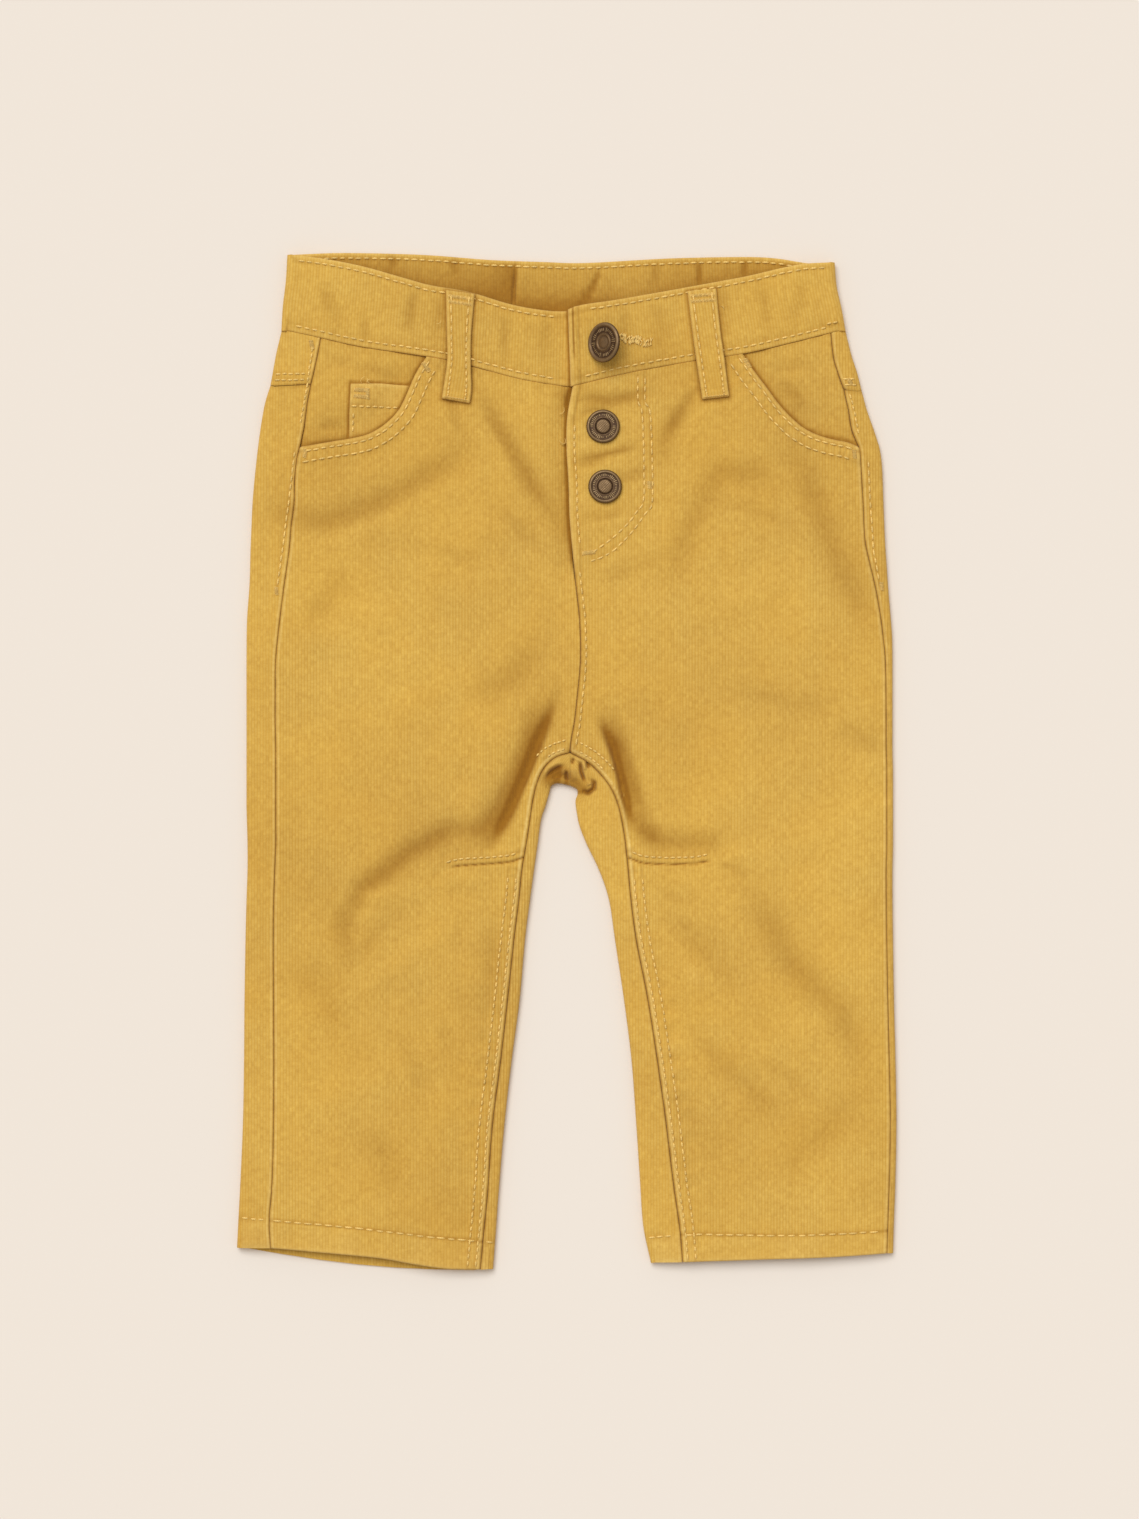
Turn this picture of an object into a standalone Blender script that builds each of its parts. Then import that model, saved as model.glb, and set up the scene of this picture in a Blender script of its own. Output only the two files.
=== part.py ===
"""Baby trousers in fine needlecord, buttoned and laid flat on their back.

Every piece of cloth is a wall. The back panels lie on the floor, roll up round the side and the leg
folds, and meet the front panels on top, 0.3 mm apart at each seam. Tables and sizes are in
millimetres: x runs from the wearer's right to left, y from hem to waist, and z up from the floor.
"""

import math
from collections import namedtuple

import bmesh
import bpy
import numpy as np

MM = 0.001

CLOTH = 1.0
SEAM_GAP = 0.3
EDGE_RADIUS = 1.9
PUFF_HEIGHT = 2.0
PUFF_RUN = 9.0
LEAST_TOP = 2.6
FOLD_RUN = 5.0
MOST_THICKENING = 1.4
SHARP_ANGLE = 40.0

ROW_STEP = 12.5
FRONT_CELLS = 14
WRAP_CELLS = 3
ROLL_CELLS = 4
FLOOR_CELLS = 4
FORK_CELLS = 1

CENTRE_BACK_X = 1.4
CROTCH = (1.4, 3.4)
FORK_SHARE = 0.94
FORK_DEPTH = 6.5
BACK_HEM_DROP = {"left": 3.0, "right": 0.0}

FLY_FOOT_Y = 88.0
FLY_FOOT_RUN = 4.0
FLY_STEP_Y = 66.0
FLY_STEP_RUN = 14.0
FLY_UNDERLAP = 8.5
FLY_DROP = 1.7
FLY_RISE = 0.4
FLY_RUN = 9.0

BAND_CLOTH = 2.2
BAND_RADIUS = 2.6
BAND_PROUD = 1.0
BAND_PROUD_RUN = 14.0
BAND_LEFT_X = -111.8
BAND_RIGHT_X = 107.4
BAND_LAP_DROP = 1.4
BAND_LAP_DROP_RUN = 13.0
BAND_LAP_RISE = 1.2
BAND_LAP_RISE_X = 46.0
BAND_LAP_RISE_RUN = 16.0
BAND_TUCK = 1.2
BAND_TUCK_X = 2.0
BAND_TUCK_RUN = 10.0
BAND_UNDERLAP_X = 29.4
BAND_BACK_FOOT_Y = 172.0
BAND_FRONT_CELLS = 14
BAND_BACK_CELLS = 18
BAND_TURN_CELLS = 6

MOUTH_INSIDE = 40.0
FACING_UNDER = 8.0
FACING_CELLS = 7
FACING_RISE_START = 3.0
FACING_DEPTH_SEAM = 0.3
FACING_DEPTH_PLAIN = 1.3
COIN_CLOTH = 0.8
COIN_UNDER = 2.0
COIN_FOOT_DROP = 0.6
COIN_CELLS = 5
FACING_RISE_RUN = 12.0

LOOP_CLOTH = 1.7
LOOP_ARCH = 0.8
LOOP_STEP_RUN = 8.0
LOOP_ROWS = 11
LOOP_CELLS = 3

CORD = ("needlecord", (0.62, 0.36, 0.065, 1.0), 0.9, 0.0)
BRASS = ("antique_brass", (0.16, 0.10, 0.055, 1.0), 0.42, 0.9)

# A leg section: the side fold and side seam, the inseam, and the fold that borders the leg gap.
Leg = namedtuple("Leg", "side_y edge_x side_x seam_x seam_y fold_x fold_y")
# A body section: the side fold and side seam, and where the rise and the centre back meet it.
Body = namedtuple("Body", "side_y edge_x side_x rise_y back_y")
# A section between the pocket mouth and the rise.
Mouth = namedtuple("Mouth", "mouth_x mouth_y rise_y")
# A yoke section, from the yoke seam up to the waist seam.
Yoke = namedtuple("Yoke", "side_x side_y edge_x edge_y back_y")
# A belt loop section: its two edges.
Loop = namedtuple("Loop", "left_x left_y right_x right_y")
# A fold of the cloth: its height, negative for a trough, its half width and its path.
Fold = namedtuple("Fold", "height width path")
Half = namedtuple("Half", "name side legs body mouth upper yoke hem facing_depth")

LEFT = Half(
    name="left",
    side=-1,
    legs=(
        Leg(-194.8, -132.0, -118.2, -34.4, -203.4, -29.4, -203.4),
        Leg(-182.8, -131.4, -118.8, -33.0, -188.4, -28.2, -187.6),
        Leg(-167.6, -130.6, -117.6, -31.4, -171.6, -27.0, -170.8),
        Leg(-143.6, -129.6, -117.1, -29.6, -146.0, -24.8, -145.2),
        Leg(-119.6, -129.2, -117.0, -26.4, -120.8, -22.0, -120.4),
        Leg(-95.6, -129.0, -117.1, -23.6, -96.4, -18.8, -96.0),
        Leg(-71.6, -128.6, -117.2, -21.0, -72.0, -16.6, -71.6),
        Leg(-55.6, -128.2, -117.0, -19.0, -55.6, -14.6, -55.6),
        Leg(-43.6, -127.8, -116.6, -17.8, -43.6, -13.0, -43.6),
        Leg(-33.6, -127.8, -116.2, -16.0, -32.8, -11.4, -32.4),
        Leg(-25.6, -128.0, -116.2, -14.6, -23.6, -10.2, -23.6),
        Leg(-18.8, -128.2, -116.2, -13.4, -15.6, -8.4, -18.0),
        Leg(-13.6, -128.2, -116.2, -11.6, -8.4, -7.0, -13.2),
        Leg(-9.6, -128.2, -116.2, -8.8, -2.6, -6.0, -10.0),
        Leg(-6.4, -128.2, -116.2, -4.4, 1.4, -3.2, -9.0),
        Leg(-3.6, -128.2, -116.2, CROTCH[0], CROTCH[1], CENTRE_BACK_X, -9.9),
    ),
    body=(
        Body(4.4, -128.2, -116.2, 8.4, 6.4),
        Body(14.4, -128.2, -116.4, 16.0, 15.6),
        Body(24.4, -128.2, -116.4, 23.6, 24.8),
        Body(40.4, -128.2, -116.2, 40.4, 40.4),
        Body(56.4, -128.0, -114.6, 56.4, 55.6),
        Body(70.4, -127.0, -112.8, 70.4, 69.2),
        Body(84.4, -126.6, -110.8, 83.6, 82.0),
        Body(94.4, -126.2, -110.0, 93.2, 91.6),
        Body(103.2, -125.8, -108.8, 102.0, 99.6),
        Body(112.8, -125.0, -108.6, 110.8, 108.4),
        Body(120.4, -124.2, -107.8, 117.6, 115.6),
        Body(125.6, -123.6, -106.6, 122.4, 120.8),
    ),
    mouth=(
        Mouth(-99.4, 126.8, 124.8),
        Mouth(-92.2, 128.0, 127.0),
        Mouth(-85.0, 129.2, 129.2),
        Mouth(-78.6, 131.0, 131.6),
        Mouth(-72.2, 135.0, 134.8),
        Mouth(-67.0, 140.4, 138.0),
        Mouth(-63.8, 146.8, 141.0),
        Mouth(-61.4, 152.6, 144.0),
        Mouth(-59.0, 157.2, 147.0),
        Mouth(-56.2, 161.2, 149.6),
    ),
    upper=(
        Body(134.4, -122.4, -104.8, 0.0, 126.8),
        Body(143.2, -120.8, -103.6, 0.0, 131.6),
        Body(150.4, -118.6, -102.2, 0.0, 135.6),
    ),
    yoke=(
        Yoke(-102.2, 150.4, -118.6, 150.4, 135.6),
        Yoke(-101.0, 155.6, -117.6, 156.0, 145.0),
        Yoke(-99.6, 162.0, -116.2, 163.6, 158.0),
        Yoke(-98.2, 169.2, -114.2, 172.0, 172.0),
    ),
    hem=(
        (-34.4, -203.4), (-48.0, -203.0), (-62.0, -201.0), (-76.0, -198.6), (-103.6, -196.0),
        (-118.2, -194.8),
    ),
    facing_depth=FACING_DEPTH_PLAIN + COIN_CLOTH + SEAM_GAP,
)

RIGHT = Half(
    name="right",
    side=1,
    legs=(
        Leg(-197.0, 130.8, 128.2, 46.5, -200.4, 33.8, -201.0),
        Leg(-184.4, 131.2, 128.6, 45.2, -186.0, 30.7, -186.0),
        Leg(-167.6, 131.8, 129.2, 42.6, -167.6, 29.4, -167.6),
        Leg(-143.6, 132.2, 129.6, 39.7, -143.6, 27.8, -143.6),
        Leg(-119.6, 131.8, 129.2, 36.3, -119.6, 26.0, -119.6),
        Leg(-95.6, 131.2, 128.6, 32.6, -95.6, 23.0, -95.6),
        Leg(-71.6, 130.8, 128.2, 27.9, -71.6, 19.4, -71.6),
        Leg(-55.6, 130.6, 128.0, 25.8, -55.6, 17.0, -55.6),
        Leg(-43.6, 130.6, 128.0, 24.7, -43.6, 13.0, -43.6),
        Leg(-33.6, 130.8, 128.2, 23.6, -32.8, 8.2, -33.6),
        Leg(-25.6, 130.8, 128.2, 22.4, -25.2, 5.2, -26.0),
        Leg(-18.8, 130.8, 128.2, 20.8, -18.0, 4.0, -20.0),
        Leg(-13.6, 130.8, 128.2, 18.2, -11.6, 3.6, -16.0),
        Leg(-9.6, 130.8, 128.2, 14.2, -6.0, 4.4, -13.2),
        Leg(-6.4, 130.8, 128.2, 8.6, -0.6, 4.0, -11.2),
        Leg(-3.6, 130.8, 128.2, CROTCH[0], CROTCH[1], CENTRE_BACK_X, -9.9),
    ),
    body=(
        Body(4.4, 130.6, 128.0, 8.4, 6.4),
        Body(14.4, 130.6, 128.0, 16.0, 15.6),
        Body(24.4, 130.6, 127.9, 23.6, 24.8),
        Body(40.4, 130.6, 127.6, 40.4, 40.4),
        Body(50.4, 130.4, 126.6, 50.0, 49.2),
        Body(59.6, 129.7, 125.4, 58.8, 58.0),
        Body(70.4, 128.8, 123.4, 69.6, 68.4),
        Body(79.6, 128.2, 121.2, 78.8, 77.2),
        Body(88.4, 127.6, 119.4, 87.2, 85.2),
        Body(103.2, 127.0, 118.6, 101.2, 98.8),
        Body(114.4, 126.6, 118.0, 112.4, 110.0),
        Body(120.4, 126.2, 117.6, 118.0, 115.6),
        Body(125.6, 125.4, 117.0, 122.4, 120.8),
    ),
    mouth=(
        Mouth(112.6, 127.4, 124.6),
        Mouth(108.6, 128.2, 126.6),
        Mouth(104.1, 129.2, 128.8),
        Mouth(99.4, 130.8, 131.0),
        Mouth(94.2, 133.6, 133.6),
        Mouth(88.6, 138.6, 136.8),
        Mouth(84.2, 143.6, 140.0),
        Mouth(80.4, 148.8, 143.0),
        Mouth(75.4, 155.4, 146.4),
        Mouth(70.6, 162.4, 149.8),
    ),
    upper=(
        Body(132.4, 123.2, 114.2, 0.0, 125.6),
        Body(140.4, 120.4, 112.8, 0.0, 130.0),
        Body(148.4, 118.2, 111.0, 0.0, 134.4),
    ),
    yoke=(
        Yoke(111.0, 148.4, 118.2, 148.4, 134.4),
        Yoke(108.6, 155.2, 116.4, 155.6, 145.0),
        Yoke(106.8, 161.6, 114.2, 162.4, 158.0),
        Yoke(105.8, 171.1, 111.8, 172.0, 172.0),
    ),
    hem=((46.5, -200.4), (64.0, -199.8), (82.0, -199.2), (106.0, -198.4), (128.2, -197.0)),
    facing_depth=FACING_DEPTH_PLAIN,
)

# The centre front seam and, above it, the fly edge of the right front, from crotch to waistband.
RISE = (
    (1.4, 3.4), (1.8, 8.4), (3.2, 16.0), (4.0, 23.6), (5.0, 33.0), (5.6, 42.4), (5.2, 56.4),
    (3.7, 70.4), (2.4, 83.6), (1.2, 97.0), (0.8, 110.8), (0.0, 124.0), (0.2, 137.0), (2.4, 149.6),
)

# The waist seam on the front, from the wearer's right side to the left.
WAIST_SEAM = (
    (-111.4, 172.0), (-98.6, 169.2), (-82.6, 165.6), (-61.0, 162.4), (-47.8, 160.2), (-35.0, 157.0),
    (-17.4, 152.4), (0.0, 149.8), (5.0, 150.4), (23.4, 154.8), (49.4, 159.6), (71.0, 162.8),
    (88.6, 166.8), (108.8, 172.0),
)
BAND_TOP_UNDERLAP = (
    (-111.8, 202.8), (-99.8, 201.2), (-82.6, 198.0), (-65.4, 193.2), (-54.6, 190.2), (-43.4, 188.4),
    (-35.0, 186.4), (-21.8, 182.4), (-9.0, 180.2), (0.0, 180.0), (14.0, 181.0), (29.4, 183.0),
)
BAND_TOP_LAP = (
    (0.6, 180.4), (6.2, 182.2), (23.4, 184.8), (49.4, 189.6), (71.0, 193.6), (92.6, 198.4),
    (107.4, 199.6),
)
BAND_TOP_BACK = (
    (-111.8, 202.8), (-88.6, 203.6), (-56.6, 202.8), (-30.6, 200.8), (-9.0, 200.0), (7.8, 199.6),
    (40.6, 201.4), (71.0, 202.0), (84.2, 201.4), (97.4, 199.4), (107.4, 199.6),
)
# Where the waistband turns round each side, from its lower edge to its upper one.
BAND_EDGE_LEFT = (-114.2, -113.6, -112.4, -111.8)
BAND_EDGE_RIGHT = (111.8, 110.2, 108.2, 107.4)
# The lapped end of the waistband, from its lower edge to its upper one.
BAND_LAP_END = (1.6, 1.3, 0.9, 0.6)

LOOPS = {
    "left": (
        Loop(-48.2, 188.0, -36.6, 186.4),
        Loop(-47.8, 171.6, -38.0, 170.4),
        Loop(-47.6, 160.0, -38.2, 159.0),
        Loop(-49.0, 150.0, -37.9, 148.4),
        Loop(-49.8, 144.8, -38.6, 142.8),
    ),
    "right": (
        Loop(48.2, 187.6, 59.8, 188.6),
        Loop(50.2, 171.6, 61.4, 172.2),
        Loop(52.0, 158.6, 63.2, 159.4),
        Loop(53.6, 148.6, 64.4, 149.6),
        Loop(54.2, 144.4, 65.0, 145.6),
    ),
}
COIN_CORNER = (-86.2, 150.8)
COIN_TOP_END = (-61.2, 150.0)
COIN_FOOT_X = -87.0

FOLDS = (
    # The wearer's right leg: the deep trough beside the inseam, and the folds that leave it.
    Fold(-2.5, 3.6, ((-7.8, 19.2), (-17.0, -5.6), (-26.6, -28.8))),
    Fold(0.9, 6.5, ((-20.0, 18.0), (-28.0, -4.0), (-40.0, -24.0))),
    Fold(-1.2, 5.0, ((-26.6, -28.8), (-45.4, -27.6), (-61.4, -35.6), (-81.4, -51.6), (-90.6, -71.6))),
    Fold(0.6, 3.2, ((-85.4, -54.4), (-58.6, -54.4))),
    Fold(0.6, 3.2, ((-50.6, -47.6), (-31.8, -47.6))),
    Fold(0.7, 5.0, ((-45.4, -66.4), (-85.4, -95.6))),
    Fold(-0.9, 6.0, ((-122.6, 100.4), (-95.8, 95.2), (-77.4, 101.6), (-45.4, 120.4), (-34.6, 131.2))),
    Fold(0.5, 5.0, ((-85.4, 112.4), (-58.6, 120.4))),
    Fold(-0.8, 3.6, ((-33.4, 141.6), (-23.8, 125.6), (-13.4, 109.6), (-3.0, 93.6))),
    Fold(0.5, 3.2, ((-23.8, 147.2), (-10.6, 128.4), (-5.4, 117.6))),
    Fold(-0.6, 6.0, ((-10.6, 48.4), (-21.4, 32.4), (-39.8, 24.4))),
    Fold(-0.5, 6.0, ((-85.4, 77.6), (-103.8, 53.6))),
    Fold(-0.4, 7.0, ((-106.6, -79.6), (-87.8, -108.8))),
    Fold(-0.4, 6.0, ((-39.8, -84.8), (-50.6, -124.8))),
    # The wearer's left leg, in the same order.
    Fold(-2.5, 3.2, ((16.2, 11.2), (21.4, -5.6), (26.6, -20.8))),
    Fold(0.8, 6.0, ((28.0, 10.4), (33.5, -5.6), (38.5, -19.6))),
    Fold(-0.9, 5.0, ((26.6, -23.6), (37.4, -32.8), (58.6, -32.8), (66.6, -31.6))),
    Fold(-0.8, 7.0, ((72.2, -44.8), (80.2, -63.6), (90.6, -82.4), (109.4, -100.8), (121.4, -127.6))),
    Fold(0.7, 5.0, ((32.2, -68.8), (64.2, -108.8), (82.6, -127.6))),
    Fold(-0.5, 5.0, ((40.2, -58.4), (69.4, -92.8))),
    Fold(-0.5, 5.0, ((48.2, -106.4), (88.2, -146.4))),
    Fold(-0.7, 6.0, ((82.6, 131.2), (96.2, 115.2), (106.6, 83.2), (122.6, 51.2))),
    Fold(-0.7, 6.0, ((90.6, 107.2), (74.6, 115.2), (61.4, 115.2), (48.2, 91.2), (45.4, 77.6), (32.2, 69.6))),
    Fold(-0.5, 5.0, ((106.6, 13.6), (128.2, 3.2))),
    Fold(-0.5, 5.0, ((45.4, 144.4), (37.4, 115.2))),
)
# The gathers of the back panels where they turn up round the crotch.
GATHERS = (
    Fold(-1.1, 2.4, ((-2.6, -3.4), (-6.4, -8.0))),
    Fold(-0.8, 1.1, ((-1.0, 0.6), (-2.0, -7.0))),
    Fold(0.6, 1.6, ((1.4, 1.0), (1.6, -7.4))),
    Fold(-0.9, 1.2, ((4.2, 1.0), (4.6, -8.0))),
    Fold(0.6, 2.2, ((8.6, -6.0), (6.4, -11.6))),
)


def smooth_step(value):
    """0 below 0, 1 above 1, and an even curve between."""
    part = np.clip(value, 0.0, 1.0)
    return part * part * (3.0 - 2.0 * part)


def curve_at(rows, places, corners=()):
    """Rows read at fractional places, on a curve through each row that turns sharply at corners."""
    rows = np.asarray(rows, float)
    shape = (-1,) + (1,) * (rows.ndim - 1)
    last = len(rows) - 1
    first = np.clip(np.floor(places).astype(int), 0, last - 1)
    part = (np.asarray(places) - first).reshape(shape)
    start, end = rows[first], rows[first + 1]
    breaks = [0, *corners, last]
    from_break = np.isin(first, breaks).reshape(shape)
    to_break = np.isin(first + 1, breaks).reshape(shape)
    before = np.where(from_break, 2 * start - end, rows[np.maximum(first - 1, 0)])
    after = np.where(to_break, 2 * end - start, rows[np.minimum(first + 2, last)])
    bend = 2 * before - 5 * start + 4 * end - after
    twist = 3 * start - before - 3 * end + after
    return start + 0.5 * part * ((end - before) + part * (bend + part * twist))


def places_along(rows, longest):
    """Places in a table, each row and as many between as keep every step under the longest."""
    steps = np.linalg.norm(np.diff(rows, axis=0), axis=-1)
    counts = np.maximum(1, np.ceil(steps.reshape(len(steps), -1).max(axis=1) / longest - 1e-6))
    parts = [first + np.arange(count) / count for first, count in enumerate(counts)]
    return np.concatenate(parts + [[len(rows) - 1.0]])


def line_y(line, x):
    """The height y of a line given by its points, read at x."""
    places = np.linspace(0, len(line) - 1, 12 * len(line))
    dense = curve_at(line, places)
    return np.interp(x, dense[:, 0], dense[:, 1])


def rise_x(y):
    """The x of the centre front seam at y."""
    return line_y([(along, across) for across, along in RISE], y)


def inset(line, toward, by=SEAM_GAP / 2):
    """The line moved sideways, to the side where the other points are."""
    run = np.gradient(line, axis=0)
    normal = np.stack([-run[:, 1], run[:, 0]], axis=1)
    normal /= np.linalg.norm(normal, axis=1)[:, None]
    side = np.sign(np.sum(normal * (toward - line), axis=1))
    return line + by * side[:, None] * normal


def inward(line, inside):
    """The unit normals of a line, on the side where a point inside the garment is."""
    return inset(line, inside, 1.0) - line


def distance_to(plan, path):
    """The distance from each plan point to a path of straight pieces."""
    path = np.asarray(path, float)
    start, run = path[:-1], np.diff(path, axis=0)
    gap = plan[..., None, :] - start
    part = np.clip(np.sum(gap * run, axis=-1) / np.sum(run * run, axis=-1), 0, 1)
    return np.linalg.norm(gap - part[..., None] * run, axis=-1).min(axis=-1)


def edge_line(half):
    """The side fold of one half, from hem to waist seam."""
    rows = [(row.edge_x, row.side_y) for row in half.legs + half.body + half.upper]
    return rows + [(row.edge_x, row.edge_y) for row in half.yoke[1:]]


def fold_line(half):
    """The fold of one leg beside the leg gap, from hem to crotch."""
    return [(row.fold_x, row.fold_y) for row in half.legs]


OUTLINE = (edge_line(LEFT), edge_line(RIGHT), fold_line(LEFT) + fold_line(RIGHT)[-2::-1])


def relief(plan, folds):
    """The height that a table of folds adds, each a soft bump across its path."""
    added = [fold.height * np.exp(-((distance_to(plan, fold.path) / fold.width) ** 2)) for fold in folds]
    return np.sum(added, axis=0)


def top_height(plan, folds=FOLDS):
    """The upper side of the garment: rolled at its folds, puffed inside them, and creased."""
    edge = np.min([distance_to(plan, line) for line in OUTLINE], axis=0)
    room = np.maximum(edge - EDGE_RADIUS, 0.0)
    puff = PUFF_HEIGHT * (1.0 - np.exp(-room / PUFF_RUN))
    height = 2 * EDGE_RADIUS + puff + relief(plan, folds) * smooth_step(room / FOLD_RUN)
    return np.maximum(height, LEAST_TOP)


def front_height(plan, side):
    """The upper side of a front panel, which steps up or down where the fly laps."""
    into_fly = smooth_step((plan[..., 1] - FLY_STEP_Y) / FLY_STEP_RUN)
    gap = side * (plan[..., 0] - rise_x(plan[..., 1]))
    near = smooth_step(1.0 - gap / FLY_RUN)
    step = FLY_RISE if side > 0 else -FLY_DROP
    return top_height(plan) + step * near * into_fly


def wrap_height(plan):
    """The upper side of a back panel where it wraps to the front, gathered at the crotch."""
    return top_height(plan, FOLDS + GATHERS)


def band_height(plan, side):
    """The upper side of the waistband's front."""
    x = plan[..., 0]
    inside = np.minimum(x - BAND_LEFT_X, BAND_RIGHT_X - x) - BAND_RADIUS
    height = 2 * BAND_RADIUS + BAND_PROUD * smooth_step(inside / BAND_PROUD_RUN)
    if side < 0:
        return height - BAND_LAP_DROP * smooth_step(x / BAND_LAP_DROP_RUN + 1.0)
    return height + BAND_LAP_RISE * smooth_step((BAND_LAP_RISE_X - x) / BAND_LAP_RISE_RUN)


def with_height(plan, height):
    """Plan points and their heights as points in space."""
    return np.concatenate([plan, np.broadcast_to(height, plan.shape[:-1])[..., None]], axis=-1)


def thickness(height_of, plan, cloth):
    """The upright thickness that keeps the wall's true one on a slope."""
    reach = 0.5
    across = height_of(plan + [reach, 0.0]) - height_of(plan - [reach, 0.0])
    along = height_of(plan + [0.0, reach]) - height_of(plan - [0.0, reach])
    return cloth * np.minimum(np.sqrt(1.0 + across**2 + along**2), MOST_THICKENING)


def patch(foot, top, left, right):
    """A four-sided patch of plan points, blended between its borders."""
    u = np.linspace(0, 1, len(foot))[None, :, None]
    v = np.linspace(0, 1, len(left))[:, None, None]
    upright = (1 - v) * foot + v * top
    level = (1 - u) * left[:, None] + u * right[:, None]
    corners = (1 - v) * ((1 - u) * foot[0] + u * foot[-1]) + v * ((1 - u) * top[0] + u * top[-1])
    return upright + level - corners


def across(start, end, cells):
    """Evenly spaced points from each start to each end, both included."""
    part = np.linspace(0, 1, cells + 1)[None, :, None]
    return (1 - part) * start[:, None] + part * end[:, None]


def roll(edge, normal, radius, centre, turns):
    """A half round about the upright centre line that lies inside an edge."""
    plan = edge[:, None] + normal[:, None] * (centre - radius * np.cos(turns))[None, :, None]
    return with_height(plan, np.broadcast_to(centre + radius * np.sin(turns), plan.shape[:2]))


def material(name, colour, roughness, metallic):
    """A plain Principled material, made once."""
    made = bpy.data.materials.get(name)
    if made is None:
        made = bpy.data.materials.new(name)
        made.use_nodes = True
        shader = made.node_tree.nodes["Principled BSDF"]
        shader.inputs["Base Color"].default_value = colour
        shader.inputs["Roughness"].default_value = roughness
        shader.inputs["Metallic"].default_value = metallic
    return made


def add_object(name, mesh_data, finish):
    """A smooth-shaded object with its material, from a bmesh."""
    mesh = bpy.data.meshes.new(name)
    mesh_data.to_mesh(mesh)
    mesh_data.free()
    mesh.shade_smooth()
    mesh.set_sharp_from_angle(angle=math.radians(SHARP_ANGLE))
    mesh.materials.append(material(*finish))
    made = bpy.data.objects.new(name, mesh)
    bpy.context.scene.collection.objects.link(made)
    return made


def wall(name, outer, inner, cells=None, finish=CORD):
    """A wall of cloth between two grids of points. Where cells is False the cloth is cut away."""
    rows, columns = outer.shape[:2]
    cells = np.ones((rows - 1, columns - 1), bool) if cells is None else cells
    index = np.arange(rows * columns).reshape(rows, columns)
    corners = (index[:-1, :-1], index[:-1, 1:], index[1:, 1:], index[1:, :-1])
    quads = np.stack(corners, axis=-1)[cells]
    edges = {(int(quad[k]), int(quad[(k + 1) % 4])) for quad in quads for k in range(4)}
    under = rows * columns
    rim = [(b, a, a + under, b + under) for a, b in sorted(edges) if (b, a) not in edges]
    faces = [*quads.tolist(), *(quads[:, ::-1] + under).tolist(), *rim]
    built = bmesh.new()
    points = np.concatenate([outer.reshape(-1, 3), inner.reshape(-1, 3)]) * MM
    verts = [built.verts.new(point) for point in points]
    for face in faces:
        built.faces.new([verts[corner] for corner in face])
    bmesh.ops.delete(built, geom=[vert for vert in verts if not vert.link_faces], context="VERTS")
    bmesh.ops.recalc_face_normals(built, faces=built.faces)
    if built.calc_volume(signed=True) < 0:
        bmesh.ops.reverse_faces(built, faces=built.faces)
    return add_object(name, built, finish)


def laid(name, plan, height_of, cloth):
    """A piece that lies face up: its plan points, the height of its face and its cloth."""
    top = height_of(plan)
    return wall(name, with_height(plan, top), with_height(plan, top - thickness(height_of, plan, cloth)))


def front_rows(half):
    """Sections of the front, each its inner end, on inseam or rise, and its side end."""
    legs = [((row.seam_x, row.seam_y), (row.side_x, row.side_y)) for row in half.legs]
    body = [((rise_x(row.rise_y), row.rise_y), (row.side_x, row.side_y)) for row in half.body]
    mouth = [((rise_x(row.rise_y), row.rise_y), (row.mouth_x, row.mouth_y)) for row in half.mouth]
    return np.array(legs + body + mouth)


def seam_corners(half):
    """The sections where a seam turns sharply: at the crotch and at the lower end of the pocket mouth."""
    crotch = len(half.legs) - 1
    return crotch, crotch + len(half.body)


def build_front(half):
    """A front panel, from hem to waist seam, cut away along the pocket mouth."""
    rows = front_rows(half)
    rows = curve_at(rows, places_along(rows, ROW_STEP), seam_corners(half))
    inner = inset(rows[:, 0], rows[:, 1])
    outer = inset(rows[:, 1], rows[:, 0])
    if half.side < 0:
        inner[:, 0] += FLY_UNDERLAP * smooth_step((inner[:, 1] - FLY_FOOT_Y) / FLY_FOOT_RUN)
    spread = np.linspace(0, 1, FRONT_CELLS + 1)
    top_x = inner[-1, 0] + (outer[-1, 0] - inner[-1, 0]) * spread
    top = np.stack([top_x, line_y(WAIST_SEAM, top_x) - SEAM_GAP / 2], axis=1)
    inner[-1], outer[-1] = top[0], top[-1]
    foot = curve_at(half.hem, spread * (len(half.hem) - 1))
    foot[0], foot[-1] = inner[0], outer[0]
    plan = patch(foot, top, inner, outer)
    laid(f"front_{half.name}", plan, lambda at: front_height(at, half.side), CLOTH)


def side_path(seam, edge, normal, centre):
    """Outer and inner points of a back piece from its side seam, round the side fold, to centre back."""
    turns = np.radians(np.linspace(90, -90, ROLL_CELLS + 1))
    shoulder = edge + normal * EDGE_RADIUS
    wrap = across(seam, shoulder, WRAP_CELLS)[:, :-1]
    floor = across(shoulder, centre, FLOOR_CELLS)[:, 1:]
    top = wrap_height(wrap)
    under = top - thickness(wrap_height, wrap, CLOTH)
    outer = [with_height(wrap, top), roll(edge, normal, EDGE_RADIUS, EDGE_RADIUS, turns)]
    inner = [with_height(wrap, under), roll(edge, normal, EDGE_RADIUS - CLOTH, EDGE_RADIUS, turns)]
    outer.append(with_height(floor, 0.0))
    inner.append(with_height(floor, CLOTH))
    return np.concatenate(outer, axis=1), np.concatenate(inner, axis=1)


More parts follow.
